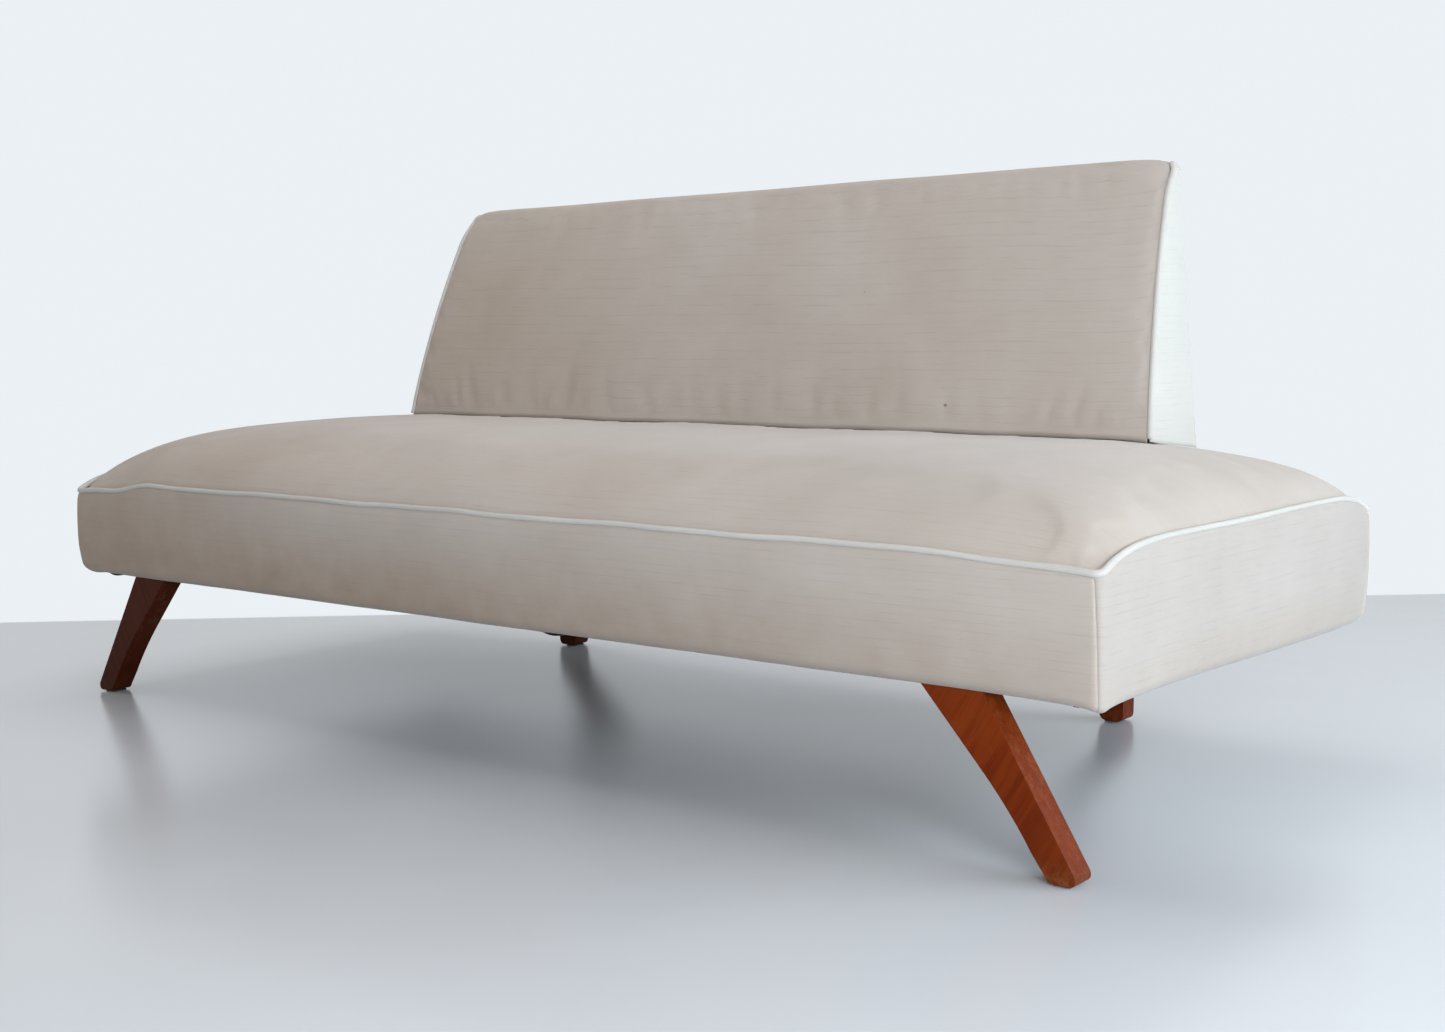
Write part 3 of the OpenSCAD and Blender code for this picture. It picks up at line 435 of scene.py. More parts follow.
# The same wood at about a third of its brightness: painted shade for the left legs.
wood_left_painted_shade = stained_wood("stained_wood_left_painted_shade", math.radians(31), 0.36)
wood_along = pale_wood("pale_wood_along", 0)
wood_deep = pale_wood("pale_wood_deep", 1)
wood_up = pale_wood("pale_wood_up", 2)
black_steel = metal("black_steel", (0.012, 0.012, 0.013), (0.030, 0.030, 0.033), 0.42, 0.0)
zinc = metal("zinc", (0.42, 0.43, 0.45), (0.62, 0.63, 0.66), 0.34, 1.0)
spring_steel = metal("spring_steel", (0.30, 0.30, 0.31), (0.48, 0.48, 0.50), 0.3, 1.0, 90.0)
rubber = metal("rubber", (0.010, 0.010, 0.010), (0.022, 0.022, 0.022), 0.75, 0.0, 500.0)


# ---------- carried-over CAD nodes ----------

NODE_MATERIALS = {
    wood_along: ["seat_front_rail", "seat_rear_rail", "seat_corner_blocks", "seat_leg_blocks",
                 "rear_beam", "back_bottom_rail", "back_top_rail"],
    wood_deep: ["seat_left_rail", "seat_right_rail", "seat_cross_rail_left",
                "seat_cross_rail_center", "seat_cross_rail_right", "runner_left",
                "runner_right"],
    wood_up: ["back_stile_left", "back_stile_right", "back_end_board_left",
              "back_end_board_right", "back_center_rib"],
    wood_right: ["front_leg_right", "rear_leg_right"],
    # The left legs take the wood copy darkened as painted shade.
    wood_left_painted_shade: ["front_leg_left", "rear_leg_left"],
    black_steel: ["front_leg_plates", "guide_front_left", "guide_front_right",
                  "guide_rear_left", "guide_rear_right", "runner_stops", "support_arm_left",
                  "support_arm_right"],
    zinc: ["front_leg_bolts", "guide_screws", "stop_screws", "runner_bolts", "arm_bolts",
           "arm_nuts", "arm_screws"],
    spring_steel: ["seat_springs", "seat_spring_clips"],
    jute: ["seat_hessian", "back_webbing"],
    rubber: ["front_glides", "rear_glides"],
}
# Width of the rounded edges of what can be seen from outside
EDGES = {
    "front_leg_left": 0.0028, "front_leg_right": 0.0028, "rear_leg_left": 0.0028,
    "rear_leg_right": 0.0028, "rear_beam": 0.002, "runner_left": 0.0015,
    "runner_right": 0.0015, "support_arm_left": 0.0012, "support_arm_right": 0.0012,
    "front_glides": 0.0012, "rear_glides": 0.0012, "runner_stops": 0.0006,
    "arm_bolts": 0.0008, "arm_nuts": 0.0006,
}


def dress_nodes():
    for material, names in NODE_MATERIALS.items():
        for name in names:
            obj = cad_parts[name]
            if not obj.material_slots:
                obj.data.materials.append(material)
            for held in obj.material_slots:
                held.link = "OBJECT"
                held.material = material
    for name, width in EDGES.items():
        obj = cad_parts[name]
        weld = obj.modifiers.new("weld", "WELD")
        weld.merge_threshold = 0.00002
        edge = obj.modifiers.new("edge", "BEVEL")
        edge.width = width
        edge.segments = 3
        edge.limit_method = "ANGLE"
        edge.angle_limit = math.radians(40)
        edge.harden_normals = True


# ---------- seat ----------

def pipe_height(u, v):
    """Height of the piping's axis; u and v run from -1 to 1 over the seat."""
    wave = 0.0007 * np.sin(17.0 * u + 4.0 * v + 0.6) + 0.0004 * np.sin(41.0 * u - 9.0 * v)
    front = np.where(v < 0, np.abs(v) ** 10, 0)
    dip = np.where(u < 0, DIP_LEFT, DIP_RIGHT) * smooth_step(0.78, 0.90, np.abs(u)) * front
    u, v = np.abs(u), np.abs(v)
    corner = u ** 16 * v ** 10
    return PIPE_Z + END_LIFT * u ** 6 * (1 - v ** 8) - dip - CORNER_DROP * (
        corner * (1 - 0.5 * front)) + wave * (1 - corner)


def crown_height(u, v):
    depth_power = np.where(np.asarray(v) > 0, 3.6, 3.0)
    fall = (np.clip(1 - np.abs(u) ** 8, 0, 1) ** 0.58
            * np.clip(1 - np.abs(v) ** depth_power, 0, 1) ** 0.58)
    return pipe_height(u, v) - TUCK + (CROWN + TUCK) * fall


def seat_top(x, depth, u, v):
    """Height of the seat's cloth, with its soft unevenness."""
    rim = min(1 - abs(u), 1 - abs(v))
    calm = min(1.0, max(0.0, rim / 0.08))
    place = (x, depth, 0.0)
    z = float(crown_height(u, v))
    z += calm * (0.0016 * wobble(place, 3.1, 3.7) + 0.0007 * wobble(place, 9.0, 8.1))
    return z + 0.0007 * math.exp(-((rim - 0.035) / 0.03) ** 2) * wobble(place, 24.0, 5.0)


def dense_ends(count):
    """Numbers from -1 to 1, closer together near both ends."""
    t = np.linspace(-1, 1, count)
    return 0.35 * t + 0.65 * np.sin(math.pi / 2 * t)


def settle(obj, free, cap, pressure, slack):
    """Swells the free points of a cloth under pressure, none by more than cap."""
    held = obj.vertex_groups.new(name="held")
    held.add([int(i) for i in np.flatnonzero(~free)], 1.0, "REPLACE")
    cloth = obj.modifiers.new("cloth", "CLOTH")
    cloth.settings.vertex_group_mass = "held"
    cloth.settings.use_pressure = True
    cloth.settings.uniform_pressure_force = pressure
    cloth.settings.shrink_min = -slack
    cloth.settings.bending_stiffness = 4.0
    cloth.settings.quality = 4
    cloth.settings.effector_weights.gravity = 0
    cloth.collision_settings.use_collision = False
    cloth.collision_settings.use_self_collision = False
    cloth.point_cache.frame_start = 1
    cloth.point_cache.frame_end = SETTLE_FRAMES
    scene = bpy.context.scene
    for number in range(1, SETTLE_FRAMES + 1):
        scene.frame_set(number)
    count = len(obj.data.vertices)
    before, after = np.empty(count * 3), np.empty(count * 3)
    obj.data.vertices.foreach_get("co", before)
    moved = obj.evaluated_get(bpy.context.evaluated_depsgraph_get()).data
    moved.vertices.foreach_get("co", after)
    shift = (after - before).reshape(-1, 3)
    length = np.linalg.norm(shift, axis=1, keepdims=True)
    shift *= cap * np.tanh(length / cap) / np.maximum(length, 1e-9)
    obj.modifiers.remove(cloth)
    obj.vertex_groups.remove(held)
    obj.data.vertices.foreach_set("co", before + shift.reshape(-1))
    obj.data.update()
    scene.frame_set(1)


def seat_cushion():
    """The crowned top: cover and padding as one closed form."""
    half_x, half_d = HALF_X - RIM_IN, HALF_D - RIM_IN
    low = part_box("seat_padding")[0][2]
    us, vs = dense_ends(225), dense_ends(101)
    cols = len(vs)
    points = []
    for u in us:
        for v in vs:
            x, depth = u * half_x, MID_D + v * half_d
            points.append(row_point(x, depth, seat_top(x, depth, u, v)))
    faces = grid_faces(len(us), cols, flip=True)
    rim = ([(i, 0) for i in range(len(us))] + [(len(us) - 1, j) for j in range(1, cols)]
           + [(i, cols - 1) for i in range(len(us) - 2, -1, -1)]
           + [(0, j) for j in range(cols - 2, 0, -1)])
    above = [i * cols + j for i, j in rim]
    below = list(range(len(points), len(points) + len(rim)))
    points += [(points[a][0], points[a][1], low) for a in above]
    count = len(rim)
    for k in range(count):
        m = (k + 1) % count
        faces.append((above[k], below[k], below[m], above[m]))
    faces.append(tuple(below[::-1]))
    obj = piece("seat_cushion", points, faces, "seat_unit", top_cloth,
                ("seat_top_panel", "seat_padding"))
    free = np.zeros(len(points), bool)
    before_back = int(np.searchsorted(vs, (SITTING_D - 0.03 - MID_D) / half_d))
    for i in range(2, len(us) - 2):
        free[i * cols + 2:i * cols + before_back] = True
    settle(obj, free, 0.0022, 2.0, 0.012)
    return obj


# Lengths along the border: its straight sides, one corner and the whole way round
STRAIGHT_X, STRAIGHT_D = 2 * (HALF_X - PLAN_R), 2 * (HALF_D - PLAN_R)
ARC = math.pi / 2 * PLAN_R
LOOP = 2 * (STRAIGHT_X + STRAIGHT_D) + 4 * ARC


def loop_point(s, inset=0.0, radius=PLAN_R):
    """A point round the seat, s metres along from the front left corner, on a rounded
    rectangle that lies inset inside the border's face: (x, depth, outward x, outward
    depth)."""
    s %= LOOP
    half_x, half_d = HALF_X - inset - radius, HALF_D - inset - radius
    starts = ((-half_x, -half_d), (half_x, -half_d), (half_x, half_d), (-half_x, half_d))
    for k, length in enumerate((STRAIGHT_X, STRAIGHT_D, STRAIGHT_X, STRAIGHT_D)):
        way = math.radians(90 * k - 90)
        nx, nd = round(math.cos(way)), round(math.sin(way))
        if s < length:
            a, b, t = starts[k], starts[(k + 1) % 4], s / length
            return (a[0] + (b[0] - a[0]) * t + radius * nx,
                    MID_D + a[1] + (b[1] - a[1]) * t + radius * nd, nx, nd)
        s -= length
        if s < ARC:
            turn = way + math.pi / 2 * s / ARC
            cx, cd = starts[(k + 1) % 4]
            nx, nd = math.cos(turn), math.sin(turn)
            return cx + radius * nx, MID_D + cd + radius * nd, nx, nd
        s -= ARC
    return loop_point(0.0, inset, radius)


def nearest_corner(s):
    """Distance along the loop to the nearest corner's middle, and how soft it is at the
    bottom: 0 at the front right, 1 elsewhere."""
    s %= LOOP
    middles, at = [], -ARC / 2
    for length in (STRAIGHT_X, STRAIGHT_D, STRAIGHT_X, STRAIGHT_D):
        middles.append(at)
        at += length + ARC
    gap, index = min((min(abs(s - m), LOOP - abs(s - m)), k) for k, m in enumerate(middles))
    return gap, 0.0 if index == 1 else 1.0


def corner_stops(start, end, count):
    """Places along the loop, closer together round its corners."""
    fine = np.linspace(start, end, 6000)
    weight = np.array([1 + 5 * math.exp(-(nearest_corner(s)[0] / 0.02) ** 2) for s in fine])
    run = np.concatenate([[0], np.cumsum((weight[1:] + weight[:-1]) / 2)])
    return np.interp(np.linspace(0, run[-1], count), run, fine)


def seat_piping():
    path, radii = [], []
    steps = 980
    for s in corner_stops(0.0, LOOP, steps)[:-1]:
        x, depth, nx, nd = loop_point(s, 0.0026, 0.009)
        u, v = x / (HALF_X - 0.0026), (depth - MID_D) / (HALF_D - 0.0026)
        z = float(pipe_height(u, v))
        place = (x, depth, 0.0)
        z += 0.0008 * wobble(place, 7.0, 1.3)
        out = 0.0005 * wobble(place, 11.0, 6.3)
        path.append(row_point(x + out * nx, depth + out * nd, z))
        far = min(1.0, nearest_corner(s)[0] / 0.15)
        radii.append(0.0045 - 0.0009 * far + 0.0002 * wobble(place, 40.0, 2.2))
    points, faces = tube(path, radii, (0, 0, 1), closed=True)
    piece("seat_piping_cord", points, faces, "seat_unit", piping_cloth, ("seat_piping",))


def border_section(top, under_r):
    """Line of the border's cloth from under the piping to its edge beneath the seat, as
    [inwards, height, share of the bulge]."""
    line = [(0.0052, top + 0.0040, 0.0), (0.0036, top + 0.0015, 0.0),
            (0.0014, top - 0.0008, 0.0), (0.0003, top - 0.0035, 0.1)]
    bend_z = CLOTH_LOW + under_r
    for i in range(1, 17):
        t = i / 16
        line.append((0.0, top - 0.0035 + (bend_z - top + 0.0035) * t,
                     math.sin(math.pi * min(1.0, 0.06 + 0.94 * t)) ** 0.8))
    for i in range(1, 11):
        a = math.radians(9 * i)
        line.append((under_r * (1 - math.cos(a)), bend_z - under_r * math.sin(a), 0.0))
    line.append(((under_r + TURN_UNDER) / 2, CLOTH_LOW, 0.0))
    line.append((TURN_UNDER, CLOTH_LOW + 0.0004, 0.0))
    return line


def droop(x, depth):
    """How far the border's lower edge hangs at the ends, most of all at the rear."""
    rear = 0.0105 * smooth_step(0.1, 0.75, depth) * smooth_step(0.62, 0.90, abs(x))
    end = 0.0038 * smooth_step(0.93, 0.948, abs(x))
    corner = math.hypot(x - HALF_X, depth)
    return float(rear + end + 0.0025 * math.exp(-corner / 0.07))


def border_panel(name, node, start, end, cloth, slants=(0.0, 0.0)):
    """The cloth of one side of the seat between two places on the loop; slants is how far
    its two seams lean along the loop at the bottom."""
    near = np.array([0, 0.0006, 0.0013, 0.0022, 0.0035, 0.006])
    count = int((end - start) / 0.0085) + 16
    inner = corner_stops(start + 0.009, end - 0.009, count)
    stops = np.concatenate([start + near, inner, end - near[::-1]])
    points = []
    for s in stops:
        x, depth, _, _ = loop_point(s)
        u, v = np.clip(x / HALF_X, -1, 1), np.clip((depth - MID_D) / HALF_D, -1, 1)
        top = float(pipe_height(u, v)) - 0.0045
        gap = min(s - start, end - s)
        dip = 0.0014 * math.exp(-(gap / 0.0012) ** 2) + 0.0004 * math.exp(-gap / 0.010)
        distance, soft = nearest_corner(s)
        corner = math.exp(-max(0.0, distance - ARC / 2) / 0.022)
        under_r = 0.0155 + (0.0115 * soft - 0.0085) * corner
        hang = droop(x, depth)
        sag = 0.0012 * wobble((x, depth, 0.3), 6.0, 9.0)
        for inwards, z, bulge in border_section(top, under_r):
            place = (x, depth, z)
            low = max(0.0, 1 - (z - CLOTH_LOW) / 0.045)
            near_top = math.exp(-max(0.0, top - z) / 0.03)
            push = 0.0026 * bulge * (0.75 + 0.5 * wobble(place, 3.0, 4.4))
            push += bulge * (0.0010 * wobble(place, 8.0, 2.9)
                             + 0.0009 * near_top * wobble((x * 3, depth * 3, z), 14.0, 7.7))
            push += 0.0011 * low * wobble((x, depth, 0.1), 27.0, 6.1)
            held = min(1.0, inwards / TURN_UNDER)
            inset = inwards - push + dip * (1 - held)
            radius = max(0.004, PLAN_R + 0.008 * low * corner * soft - 0.4 * inwards * (1 - corner))
            share = min(1.0, max(0.0, (top - z) / (top - CLOTH_LOW)))
            slant = (slants[0] * math.exp(-(s - start) / 0.03)
                     + slants[1] * math.exp(-(end - s) / 0.03)) * share
            px, pd, _, _ = loop_point(s + slant, inset, radius)
            z += sag * min(1.0, 2 * low) * (1 - held) - hang * share
            points.append(row_point(px, pd, z))
    cols = len(border_section(PIPE_Z, 0.02))
    obj = piece(name, points, grid_faces(len(stops), cols, flip=True), "seat_unit", cloth,
                (node,))
    shell(obj, 0.0016)


def seat_borders():
    front_right = STRAIGHT_X + 0.003
    rear_right = STRAIGHT_X + ARC + STRAIGHT_D - 0.006
    rear_left = 2 * STRAIGHT_X + 3 * ARC + STRAIGHT_D + 0.006
    front_left = LOOP - ARC / 2
    border_panel("seat_border_front_cover", "seat_border_front", front_left - LOOP, front_right,
                 front_cloth, (0.0, 0.006))
    border_panel("seat_border_right_cover", "seat_border_right", front_right, rear_right,
                 end_cloth_painted_shade, (0.006, 0.0))
    border_panel("seat_border_rear_cover", "seat_border_rear", rear_right, rear_left,
                 front_cloth)
    border_panel("seat_border_left_cover", "seat_border_left", rear_left, front_left, end_cloth_painted_shade)


# Where the lining hangs below the front edge: middle along x, half length, drop
LOOSE_FRONT = [(-0.882, 0.026, 0.0075), (0.133, 0.030, 0.0080), (0.908, 0.012, 0.0070)]


def seat_lining():
    """Black lining stapled under the seat; it sags between the cross rails."""
    edge = 0.026
    half_x, half_d = HALF_X - edge, HALF_D - edge
    us = np.linspace(-1, 1, 321)
    vs = np.concatenate([[-1, -0.985, -0.965, -0.94], np.linspace(-0.9, 0.9, 61),
                         [0.94, 0.965, 0.985, 1]])
    low = CLOTH_LOW - 0.0006
    points = []
    for u in us:
        x = u * half_x
        end_bay = (abs(x) - CROSS_PITCH) / CROSS_PITCH * 0.5
        middle = abs(x) < 2 * CROSS_PITCH
        bay = abs(math.sin(math.pi * (x / CROSS_PITCH if middle else end_bay)))
        for v in vs:
            depth = MID_D + v * half_d
            sag = 0.0016 * bay * (1 - v ** 6) * (1 - u ** 8)
            sag += 0.0003 * wobble((x, depth, 0.0), 18.0, 3.0)
            z = max(low - sag, LINING_LOWEST) if abs(v) < 0.96 else low
            z -= droop(x, depth)
            for mid, half, drop in LOOSE_FRONT:
                near = max(0.0, 1 - ((x - mid) / half) ** 2)
                z -= drop * near * math.exp(-((v + 0.99) / 0.03) ** 2)
            points.append(row_point(x, depth, z))
    obj = piece("seat_lining_sheet", points, grid_faces(len(us), len(vs)), "seat_unit", lining,
                ("seat_dust_cover",))
    shell(obj, 0.0004)


# ---------- backrest ----------

def bend(a, c, b, n):
    t = np.linspace(0, 1, n + 1)[:, None]
    a, c, b = (np.asarray(p, float) for p in (a, c, b))
    return (1 - t) ** 2 * a + 2 * t * (1 - t) * c + t ** 2 * b


def back_half(z):
    """Half width of the backrest at height z."""
    return BACK_HALF_LOW - (z - TAPER_FROM_Z) * (BACK_HALF_LOW - BACK_HALF_HIGH) / TAPER_RISE


def back_side(z):
    """The same, with the top corners rounded."""
    over = np.maximum(0, z - BACK_TOP_Z + BACK_CORNER_R)
    return back_half(z) - BACK_CORNER_R + np.sqrt(np.maximum(0, BACK_CORNER_R ** 2 - over ** 2))


def panel_side(z):
    """Half width of the front panel, which stops inside the piping all round."""
    over = np.clip(z - BACK_TOP_Z + BACK_CORNER_R, 0, BACK_CORNER_R - 0.0035)
    fall = np.sqrt(BACK_CORNER_R ** 2 - over ** 2)
    return (back_half(z) - BACK_CORNER_R + fall - 0.0022
            - (BACK_PIPE_R - 0.0006) * BACK_CORNER_R / fall)


def back_point(x, depth, z):
    """A point of the backrest; its top leans a little to the right and rises that way, and
    its top corners are pressed down and back."""
    share = min(1.0, max(0.0, (z - 0.45) / 0.38))
    pressed = min(1.0, max(0.0, (z - 0.765) / 0.065)) ** 2
    pressed *= math.exp(-max(0.0, float(back_half(z)) - abs(x)) / 0.022)
    back = PRESS_BACK * pressed * min(1.0, max(0.0, (BACK_REAR_D - depth) / 0.03))
    return row_point(x + LEAN_RIGHT * share, depth + back,
                     z + TILT * share * x - PRESS_DOWN * pressed)


def bottom_z(depth):
    return BACK_FRONT_Z + (depth - SITTING_D) * (BACK_REAR_Z - BACK_FRONT_Z) / WEDGE_D


def wedge_line():
    """[depth, height] up the bulging front and round the top to the rear face."""
    turn = math.radians(155)
    cap_mid = np.array([BACK_REAR_D - CAP_R, BACK_TOP_Z - CAP_R])
    cap_start = cap_mid + CAP_R * np.array([math.cos(turn), math.sin(turn)])
    front = bend((SITTING_D, BACK_FRONT_Z), cap_start - 0.19 * np.array([0.463, 1]),
                 cap_start, 200)
    angles = np.linspace(turn, 0, 41)[1:]
    cap = cap_mid + CAP_R * np.stack([np.cos(angles), np.sin(angles)], 1)
    return np.vstack([front, cap])


def resample(line, stops):
    """Points of a polyline at shares of its length."""
    run = np.concatenate([[0], np.cumsum(np.linalg.norm(np.diff(line, axis=0), axis=1))])
    at = np.asarray(stops) * run[-1]
    return np.stack([np.interp(at, run, line[:, k]) for k in range(line.shape[1])], 1)


def line_normals(line):
    """Outward normals of the wedge line."""
    ahead = np.vstack([line[1:], line[-1:]]) - np.vstack([line[:1], line[:-1]])
    ahead = unit(ahead)
    return np.stack([-ahead[:, 1], ahead[:, 0]], 1)


def offset_line(line, distance):
    return line + distance * line_normals(line)


def back_cushion():
    """The padded front, over the top to the rear face, as one closed form."""
    line = resample(wedge_line(), np.concatenate([
        np.linspace(0, 0.93, 56), np.linspace(0.935, 1, 22)]))
    normals = line_normals(line)
    inner_low, inner_high = np.array([0.601, 0.472]), np.array([0.674, 0.768])
    us = dense_ends(191)
    cols = len(us)
    points = []
    for k, (depth, z) in enumerate(line):
        half = float(panel_side(z))
        height = (z - BACK_FRONT_Z) / (BACK_TOP_Z - BACK_FRONT_Z)
        belly = math.sin(math.pi * min(1, max(0, height))) ** 0.7
        for u in us:
            x = u * half
            rim = (1 - abs(u)) * half
            place = (x, depth, z)
            puff = 0.0030 * belly * (1 - math.exp(-rim / 0.05)) - 0.0016 * math.exp(-rim / 0.012)
            puff += belly * (0.0022 * wobble(place, 3.4, 1.9) + 0.0009 * wobble(place, 9.0, 4.2))
            puff += 0.0009 * belly * math.exp(-rim / 0.03) * wobble((x * 0.3, depth, z), 26.0, 2.0)
            if height > 0.97:
                puff += 0.0012 * wobble((x, 0, 0), 5.0, 6.6)
            d, h = depth + puff * normals[k][0], z + puff * normals[k][1]
            rest = seat_top(x, depth, x / HALF_X, (depth - MID_D) / HALF_D) + 0.0008
            rest = min(max(rest, 0.4450), 0.4535)
            h -= max(0.0, BACK_FRONT_Z - rest) * math.exp(-(z - BACK_FRONT_Z) / 0.02)
            points.append(back_point(x, min(d, BACK_REAR_D), h))
    rows = len(line)
    faces = grid_faces(rows, cols)
    # The back of the padding: from the rear edge down the frame to the front foot
    inner = resample(np.array([[BACK_REAR_D - 0.003, BACK_TOP_Z - CAP_R - 0.004],
                               [BACK_REAR_D - 0.006, 0.772], inner_high, inner_low,
                               [0.596, 0.4575], [0.575, 0.4570]]), np.linspace(0, 1, 9))
    first = len(points)
    for depth, z in inner:
        half = float(panel_side(z)) - 0.002
        points += [back_point(u * half, depth, z) for u in us]
    faces += grid_faces(len(inner), cols, first)
    last_front = (rows - 1) * cols
    last_inner = first + (len(inner) - 1) * cols
    for j in range(cols - 1):
        faces.append((last_front + j, last_front + j + 1, first + j + 1, first + j))
        faces.append((last_inner + j, last_inner + j + 1, j + 1, j))
    left = [i * cols for i in range(rows)] + [first + i * cols for i in range(len(inner))]
    faces.append(tuple(left))
    faces.append(tuple(a + cols - 1 for a in left[::-1]))
    obj = piece("back_cushion", points, faces, "rear_frame", back_cloth,
                ("back_front_panel", "back_padding"))
    free = np.zeros(len(points), bool)
    for i in range(3, 53):
        free[i * cols + 2:i * cols + cols - 2] = True
    settle(obj, free, 0.0024, 2.0, 0.012)
    return obj


def back_rear_cover():
    """Flat cloth on the rear face, with its turned edge."""
    top_z = BACK_TOP_Z - CAP_R
    zs = np.concatenate([[BACK_REAR_Z, BACK_REAR_Z + 0.002, BACK_REAR_Z + 0.006],
                         np.linspace(BACK_REAR_Z + 0.014, top_z - 0.019, 46),
                         np.linspace(top_z - 0.016, top_z, 9)])
    us = dense_ends(151)
    points = []
    for z in zs:
        half = float(back_side(z)) - 0.0028
        for u in us:
            x = u * half
            rim = min((1 - abs(u)) * half, z - BACK_REAR_Z, top_z - z)
            near_arm = max(math.exp(-((abs(x) - ARM_X) / 0.035) ** 2), 0.0)
            out = -0.0018 * math.exp(-rim / 0.0018) - 0.0005
            swell = 0.0018 * (1 - math.exp(-rim / 0.05)) * (1 - near_arm)
            swell += 0.0009 * (1 - near_arm) * wobble((x, 0, z), 7.0, 3.3) * min(1, rim / 0.02)
            swell += 0.0005 * math.exp(-((rim - 0.012) / 0.004) ** 2)
            points.append(back_point(x, BACK_REAR_D + out + swell, z))
    obj = piece("back_rear_cover", points, grid_faces(len(zs), len(us), flip=True), "rear_frame",
                rear_cloth, ("back_rear_panel",))
    shell(obj, 0.0012)


def back_gusset(side):
    """Wedge at one end, in greige cloth painted paler as painted light; side is 1 on the right and
    -1 on the left.
    """
    inner = offset_line(wedge_line(), -0.0048)
    inner = inner[:np.argmax(inner[:, 1]) + 1]
    top = BACK_TOP_Z - 0.0085
    ts = np.concatenate([np.linspace(0, 0.9, 60), np.linspace(0.91, 1, 16)])
    ss = 0.5 + 0.5 * dense_ends(27)
    points = []
    for t in ts:
        level = 0.446 + t * (top - 0.446)
        start = float(np.interp(level, inner[:, 1], inner[:, 0]))
        stop = BACK_REAR_D - 0.0012
        for s in ss:
            depth = start + s * (stop - start)
            z = level + (bottom_z(depth) - 0.0045 - 0.446) * (1 - t)
            rim = min(s, 1 - s) * (stop - start)
            swell = 0.0022 * (1 - math.exp(-min(rim, z - 0.43) / 0.02))
            swell += 0.0008 * wobble((side, depth, z), 12.0, 5.0) * min(1, rim / 0.01)
            dip = 0.0024 * math.exp(-rim / 0.0016)
            x = side * (float(back_side(z)) - 0.0016 + swell - dip)
            points.append(back_point(x, depth, z))
    name = "right" if side > 0 else "left"
    obj = piece(f"back_gusset_{name}_cover", points,
                grid_faces(len(ts), len(ss), flip=side > 0), "rear_frame", gusset_cloth_painted_light,
                (f"back_gusset_{name}",))
    shell(obj, 0.0016)


def back_piping(side):
    line = resample(offset_line(wedge_line(), -0.0030), np.concatenate([
        np.linspace(0, 0.93, 90), np.linspace(0.934, 0.995, 34)]))
    path, radii = [], []
    for depth, z in line:
        place = (side, depth, z)
        x = side * (float(back_side(z)) - 0.0022 + 0.0004 * wobble(place, 12.0, 3.0))
        path.append(back_point(x, depth + 0.0004 * wobble(place, 15.0, 8.0), z))
        radii.append(BACK_PIPE_R + 0.0002 * wobble(place, 42.0, 1.0))
    points, faces = tube(path, radii, (1, 0, 0))
    name = "right" if side > 0 else "left"
    piece(f"back_piping_{name}_cord", points, faces, "rear_frame", piping_cloth,
          (f"back_piping_{name}",))


def back_lining():
    low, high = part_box("back_bottom_panel")
    us, ss = np.linspace(-1, 1, 121), np.linspace(0, 1, 21)
    half = high[0]
    start, stop = low[1] - FRONT_Y - 0.004, high[1] - FRONT_Y
    points = []
    for u in us:
        for s in ss:
            depth = start + s * (stop - start)
            sag = 0.0012 * (1 - u ** 8) * math.sin(math.pi * s)
            z = bottom_z(depth) - sag * 0.6 + 0.0003 * wobble((u * half, depth, 0), 20.0, 1.0)
            points.append(row_point(u * half, depth, z + 0.0004))
    obj = piece("back_lining_sheet", points, grid_faces(len(us), len(ss)), "rear_frame", lining,
                ("back_bottom_panel",))
    shell(obj, 0.0004)


# ---------- studio ----------

def camera():
    data = bpy.data.cameras.new("camera")
    data.sensor_width = 36
    data.sensor_fit = "HORIZONTAL"
    data.lens = 45.18
    yaw, pitch, roll = math.radians(38.35), math.radians(5.95), math.radians(-0.39)
    forward = Vector((-math.sin(yaw) * math.cos(pitch), math.cos(yaw) * math.cos(pitch),
                      -math.sin(pitch)))
    right = Vector((math.cos(yaw), math.sin(yaw), 0))
    up = right.cross(forward)
    turned_right = right * math.cos(roll) + up * math.sin(roll)
    turned_up = up * math.cos(roll) - right * math.sin(roll)
    obj = bpy.data.objects.new("camera", data)
    obj.matrix_world = Matrix((
        (turned_right.x, turned_up.x, -forward.x, 1.8026),
        (turned_right.y, turned_up.y, -forward.y, -2.1397),
        (turned_right.z, turned_up.z, -forward.z, 0.6082),
        (0, 0, 0, 1)))
    bpy.context.scene.collection.objects.link(obj)
    bpy.context.scene.camera = obj


WALL = (0.83, 0.875, 0.91)
# The backdrop starts where BACKDROP_Y * y - BACKDROP_X * x reaches BACKDROP_FROM
BACKDROP_X, BACKDROP_Y = 0.6846, 0.729
BACKDROP_FROM, BACKDROP_TO = 1.088, 1.100
FLOOR_R, FLOOR_FADE_R = 2.3, 3.2  # the floor fades out between these distances


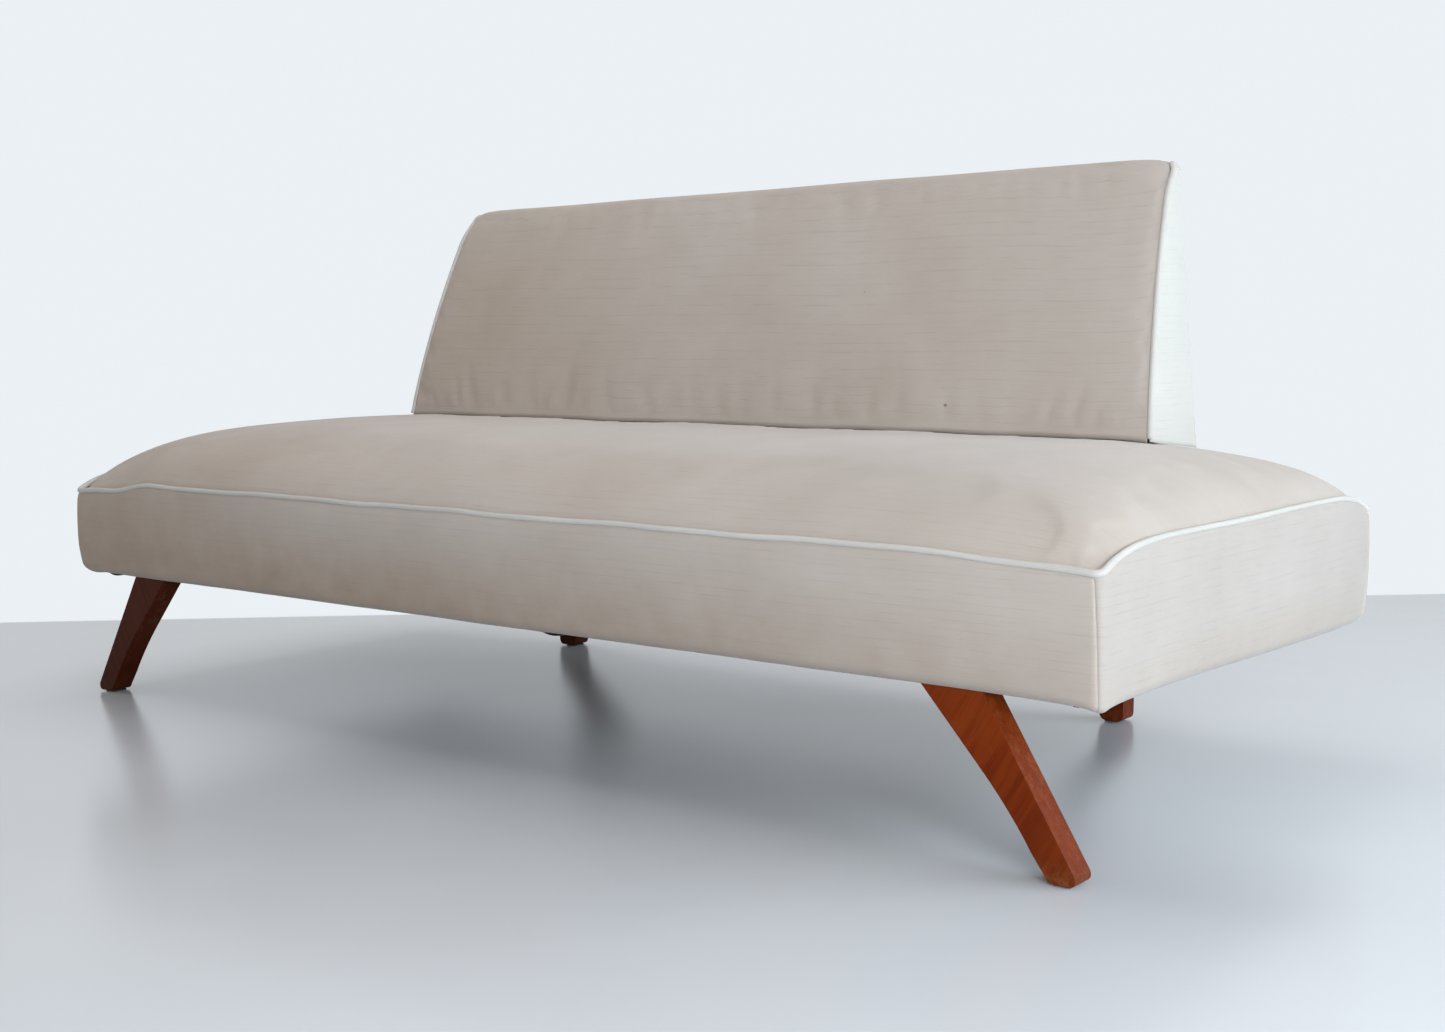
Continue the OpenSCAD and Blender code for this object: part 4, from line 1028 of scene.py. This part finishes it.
def floor():
    """A pale glossy floor that meets a plain backdrop a little way behind the object."""
    s = Shader("floor")
    x, y, _ = s.axes()
    behind = s.math("SUBTRACT", s.math("MULTIPLY", y, BACKDROP_Y),
                    s.math("MULTIPLY", x, BACKDROP_X))
    distance = s.math("SQRT", s.math("ADD", s.math("MULTIPLY", x, x), s.math("MULTIPLY", y, y)))
    far = s.math("MAXIMUM", s.span(behind, BACKDROP_FROM, BACKDROP_TO),
                 s.span(distance, FLOOR_R, FLOOR_FADE_R))
    broad = s.noise(s.place(), 1.6, 3.0, 0.5)
    tone = s.mix(s.span(broad, 0.3, 0.7), (0.54, 0.575, 0.625), (0.58, 0.615, 0.665))
    s.set(Base_Color=tone, Roughness=s.span(broad, 0.3, 0.7, 0.19, 0.25),
          Specular_IOR_Level=0.55)
    glow = s.node("ShaderNodeEmission", {"Color": (*WALL, 1)})
    rays = s.node("ShaderNodeLightPath")
    s.feed(glow.inputs["Strength"], s.math("SUBTRACT", 1.0, s.math(
        "MULTIPLY", rays.outputs["Is Diffuse Ray"], 0.7)))
    blend = s.node("ShaderNodeMixShader", {0: far, 1: s.surface.outputs[0], 2: glow.outputs[0]})
    s.feed(s.tree.nodes["Material Output"].inputs["Surface"], blend.outputs[0])
    mesh = bpy.data.meshes.new("floor")
    size = 30
    mesh.from_pydata([(-size, -size, 0), (size, -size, 0), (size, size, 0), (-size, size, 0)], [],
                     [(0, 1, 2, 3)])
    mesh.materials.append(s.material)
    obj = bpy.data.objects.new("floor", mesh)
    bpy.context.scene.collection.objects.link(obj)


def area_light(name, place, aim, size, power, colour):
    data = bpy.data.lights.new(name, "AREA")
    data.shape = "RECTANGLE"
    data.size, data.size_y = size
    data.energy = power
    data.color = colour
    obj = bpy.data.objects.new(name, data)
    obj.location = place
    obj.rotation_euler = (Vector(aim) - Vector(place)).to_track_quat("-Z", "Y").to_euler()
    bpy.context.scene.collection.objects.link(obj)


def studio():
    world = bpy.data.worlds.new("studio")
    world.use_nodes = True
    tree = world.node_tree
    tree.nodes.clear()
    seen = tree.nodes.new("ShaderNodeBackground")
    seen.inputs["Color"].default_value = (*WALL, 1)
    fill = tree.nodes.new("ShaderNodeBackground")
    fill.inputs["Strength"].default_value = 0.36
    ways = tree.nodes.new("ShaderNodeTexCoord")
    split = tree.nodes.new("ShaderNodeSeparateXYZ")
    share = tree.nodes.new("ShaderNodeMapRange")
    share.inputs["From Min"].default_value = -1
    tint = tree.nodes.new("ShaderNodeMix")
    tint.data_type = "RGBA"
    tint.inputs[6].default_value = (1.0, 0.80, 0.62, 1)
    tint.inputs[7].default_value = (0.96, 0.98, 1.0, 1)
    tree.links.new(ways.outputs["Generated"], split.inputs[0])
    tree.links.new(split.outputs[0], share.inputs["Value"])
    tree.links.new(share.outputs[0], tint.inputs[0])
    tree.links.new(tint.outputs[2], fill.inputs["Color"])
    rays = tree.nodes.new("ShaderNodeLightPath")
    blend = tree.nodes.new("ShaderNodeMixShader")
    out = tree.nodes.new("ShaderNodeOutputWorld")
    tree.links.new(rays.outputs["Is Diffuse Ray"], blend.inputs[0])
    tree.links.new(seen.outputs[0], blend.inputs[1])
    tree.links.new(fill.outputs[0], blend.inputs[2])
    tree.links.new(blend.outputs[0], out.inputs["Surface"])
    bpy.context.scene.world = world
    bpy.context.scene.view_settings.view_transform = "Standard"
    area_light("overhead", (-0.5, 0.1, 2.7), (-0.3, 0.1, 0.4), (2.6, 2.0), 28,
               (1.0, 0.975, 0.95))
    area_light("window", (2.75, 0.65, 0.98), (0.6, 0.3, 0.45), (2.6, 1.3), 50, (0.87, 0.96, 1.0))
    area_light("front_window", (2.4, -2.1, 0.9), (0.5, -0.3, 0.3), (1.4, 1.1), 62,
               (0.93, 0.97, 1.0))


dress_nodes()
seat_cushion()
seat_piping()
seat_borders()
seat_lining()
back_cushion()
back_rear_cover()
for end in (1, -1):
    back_gusset(end)
    back_piping(end)
back_lining()
camera()
floor()
studio()
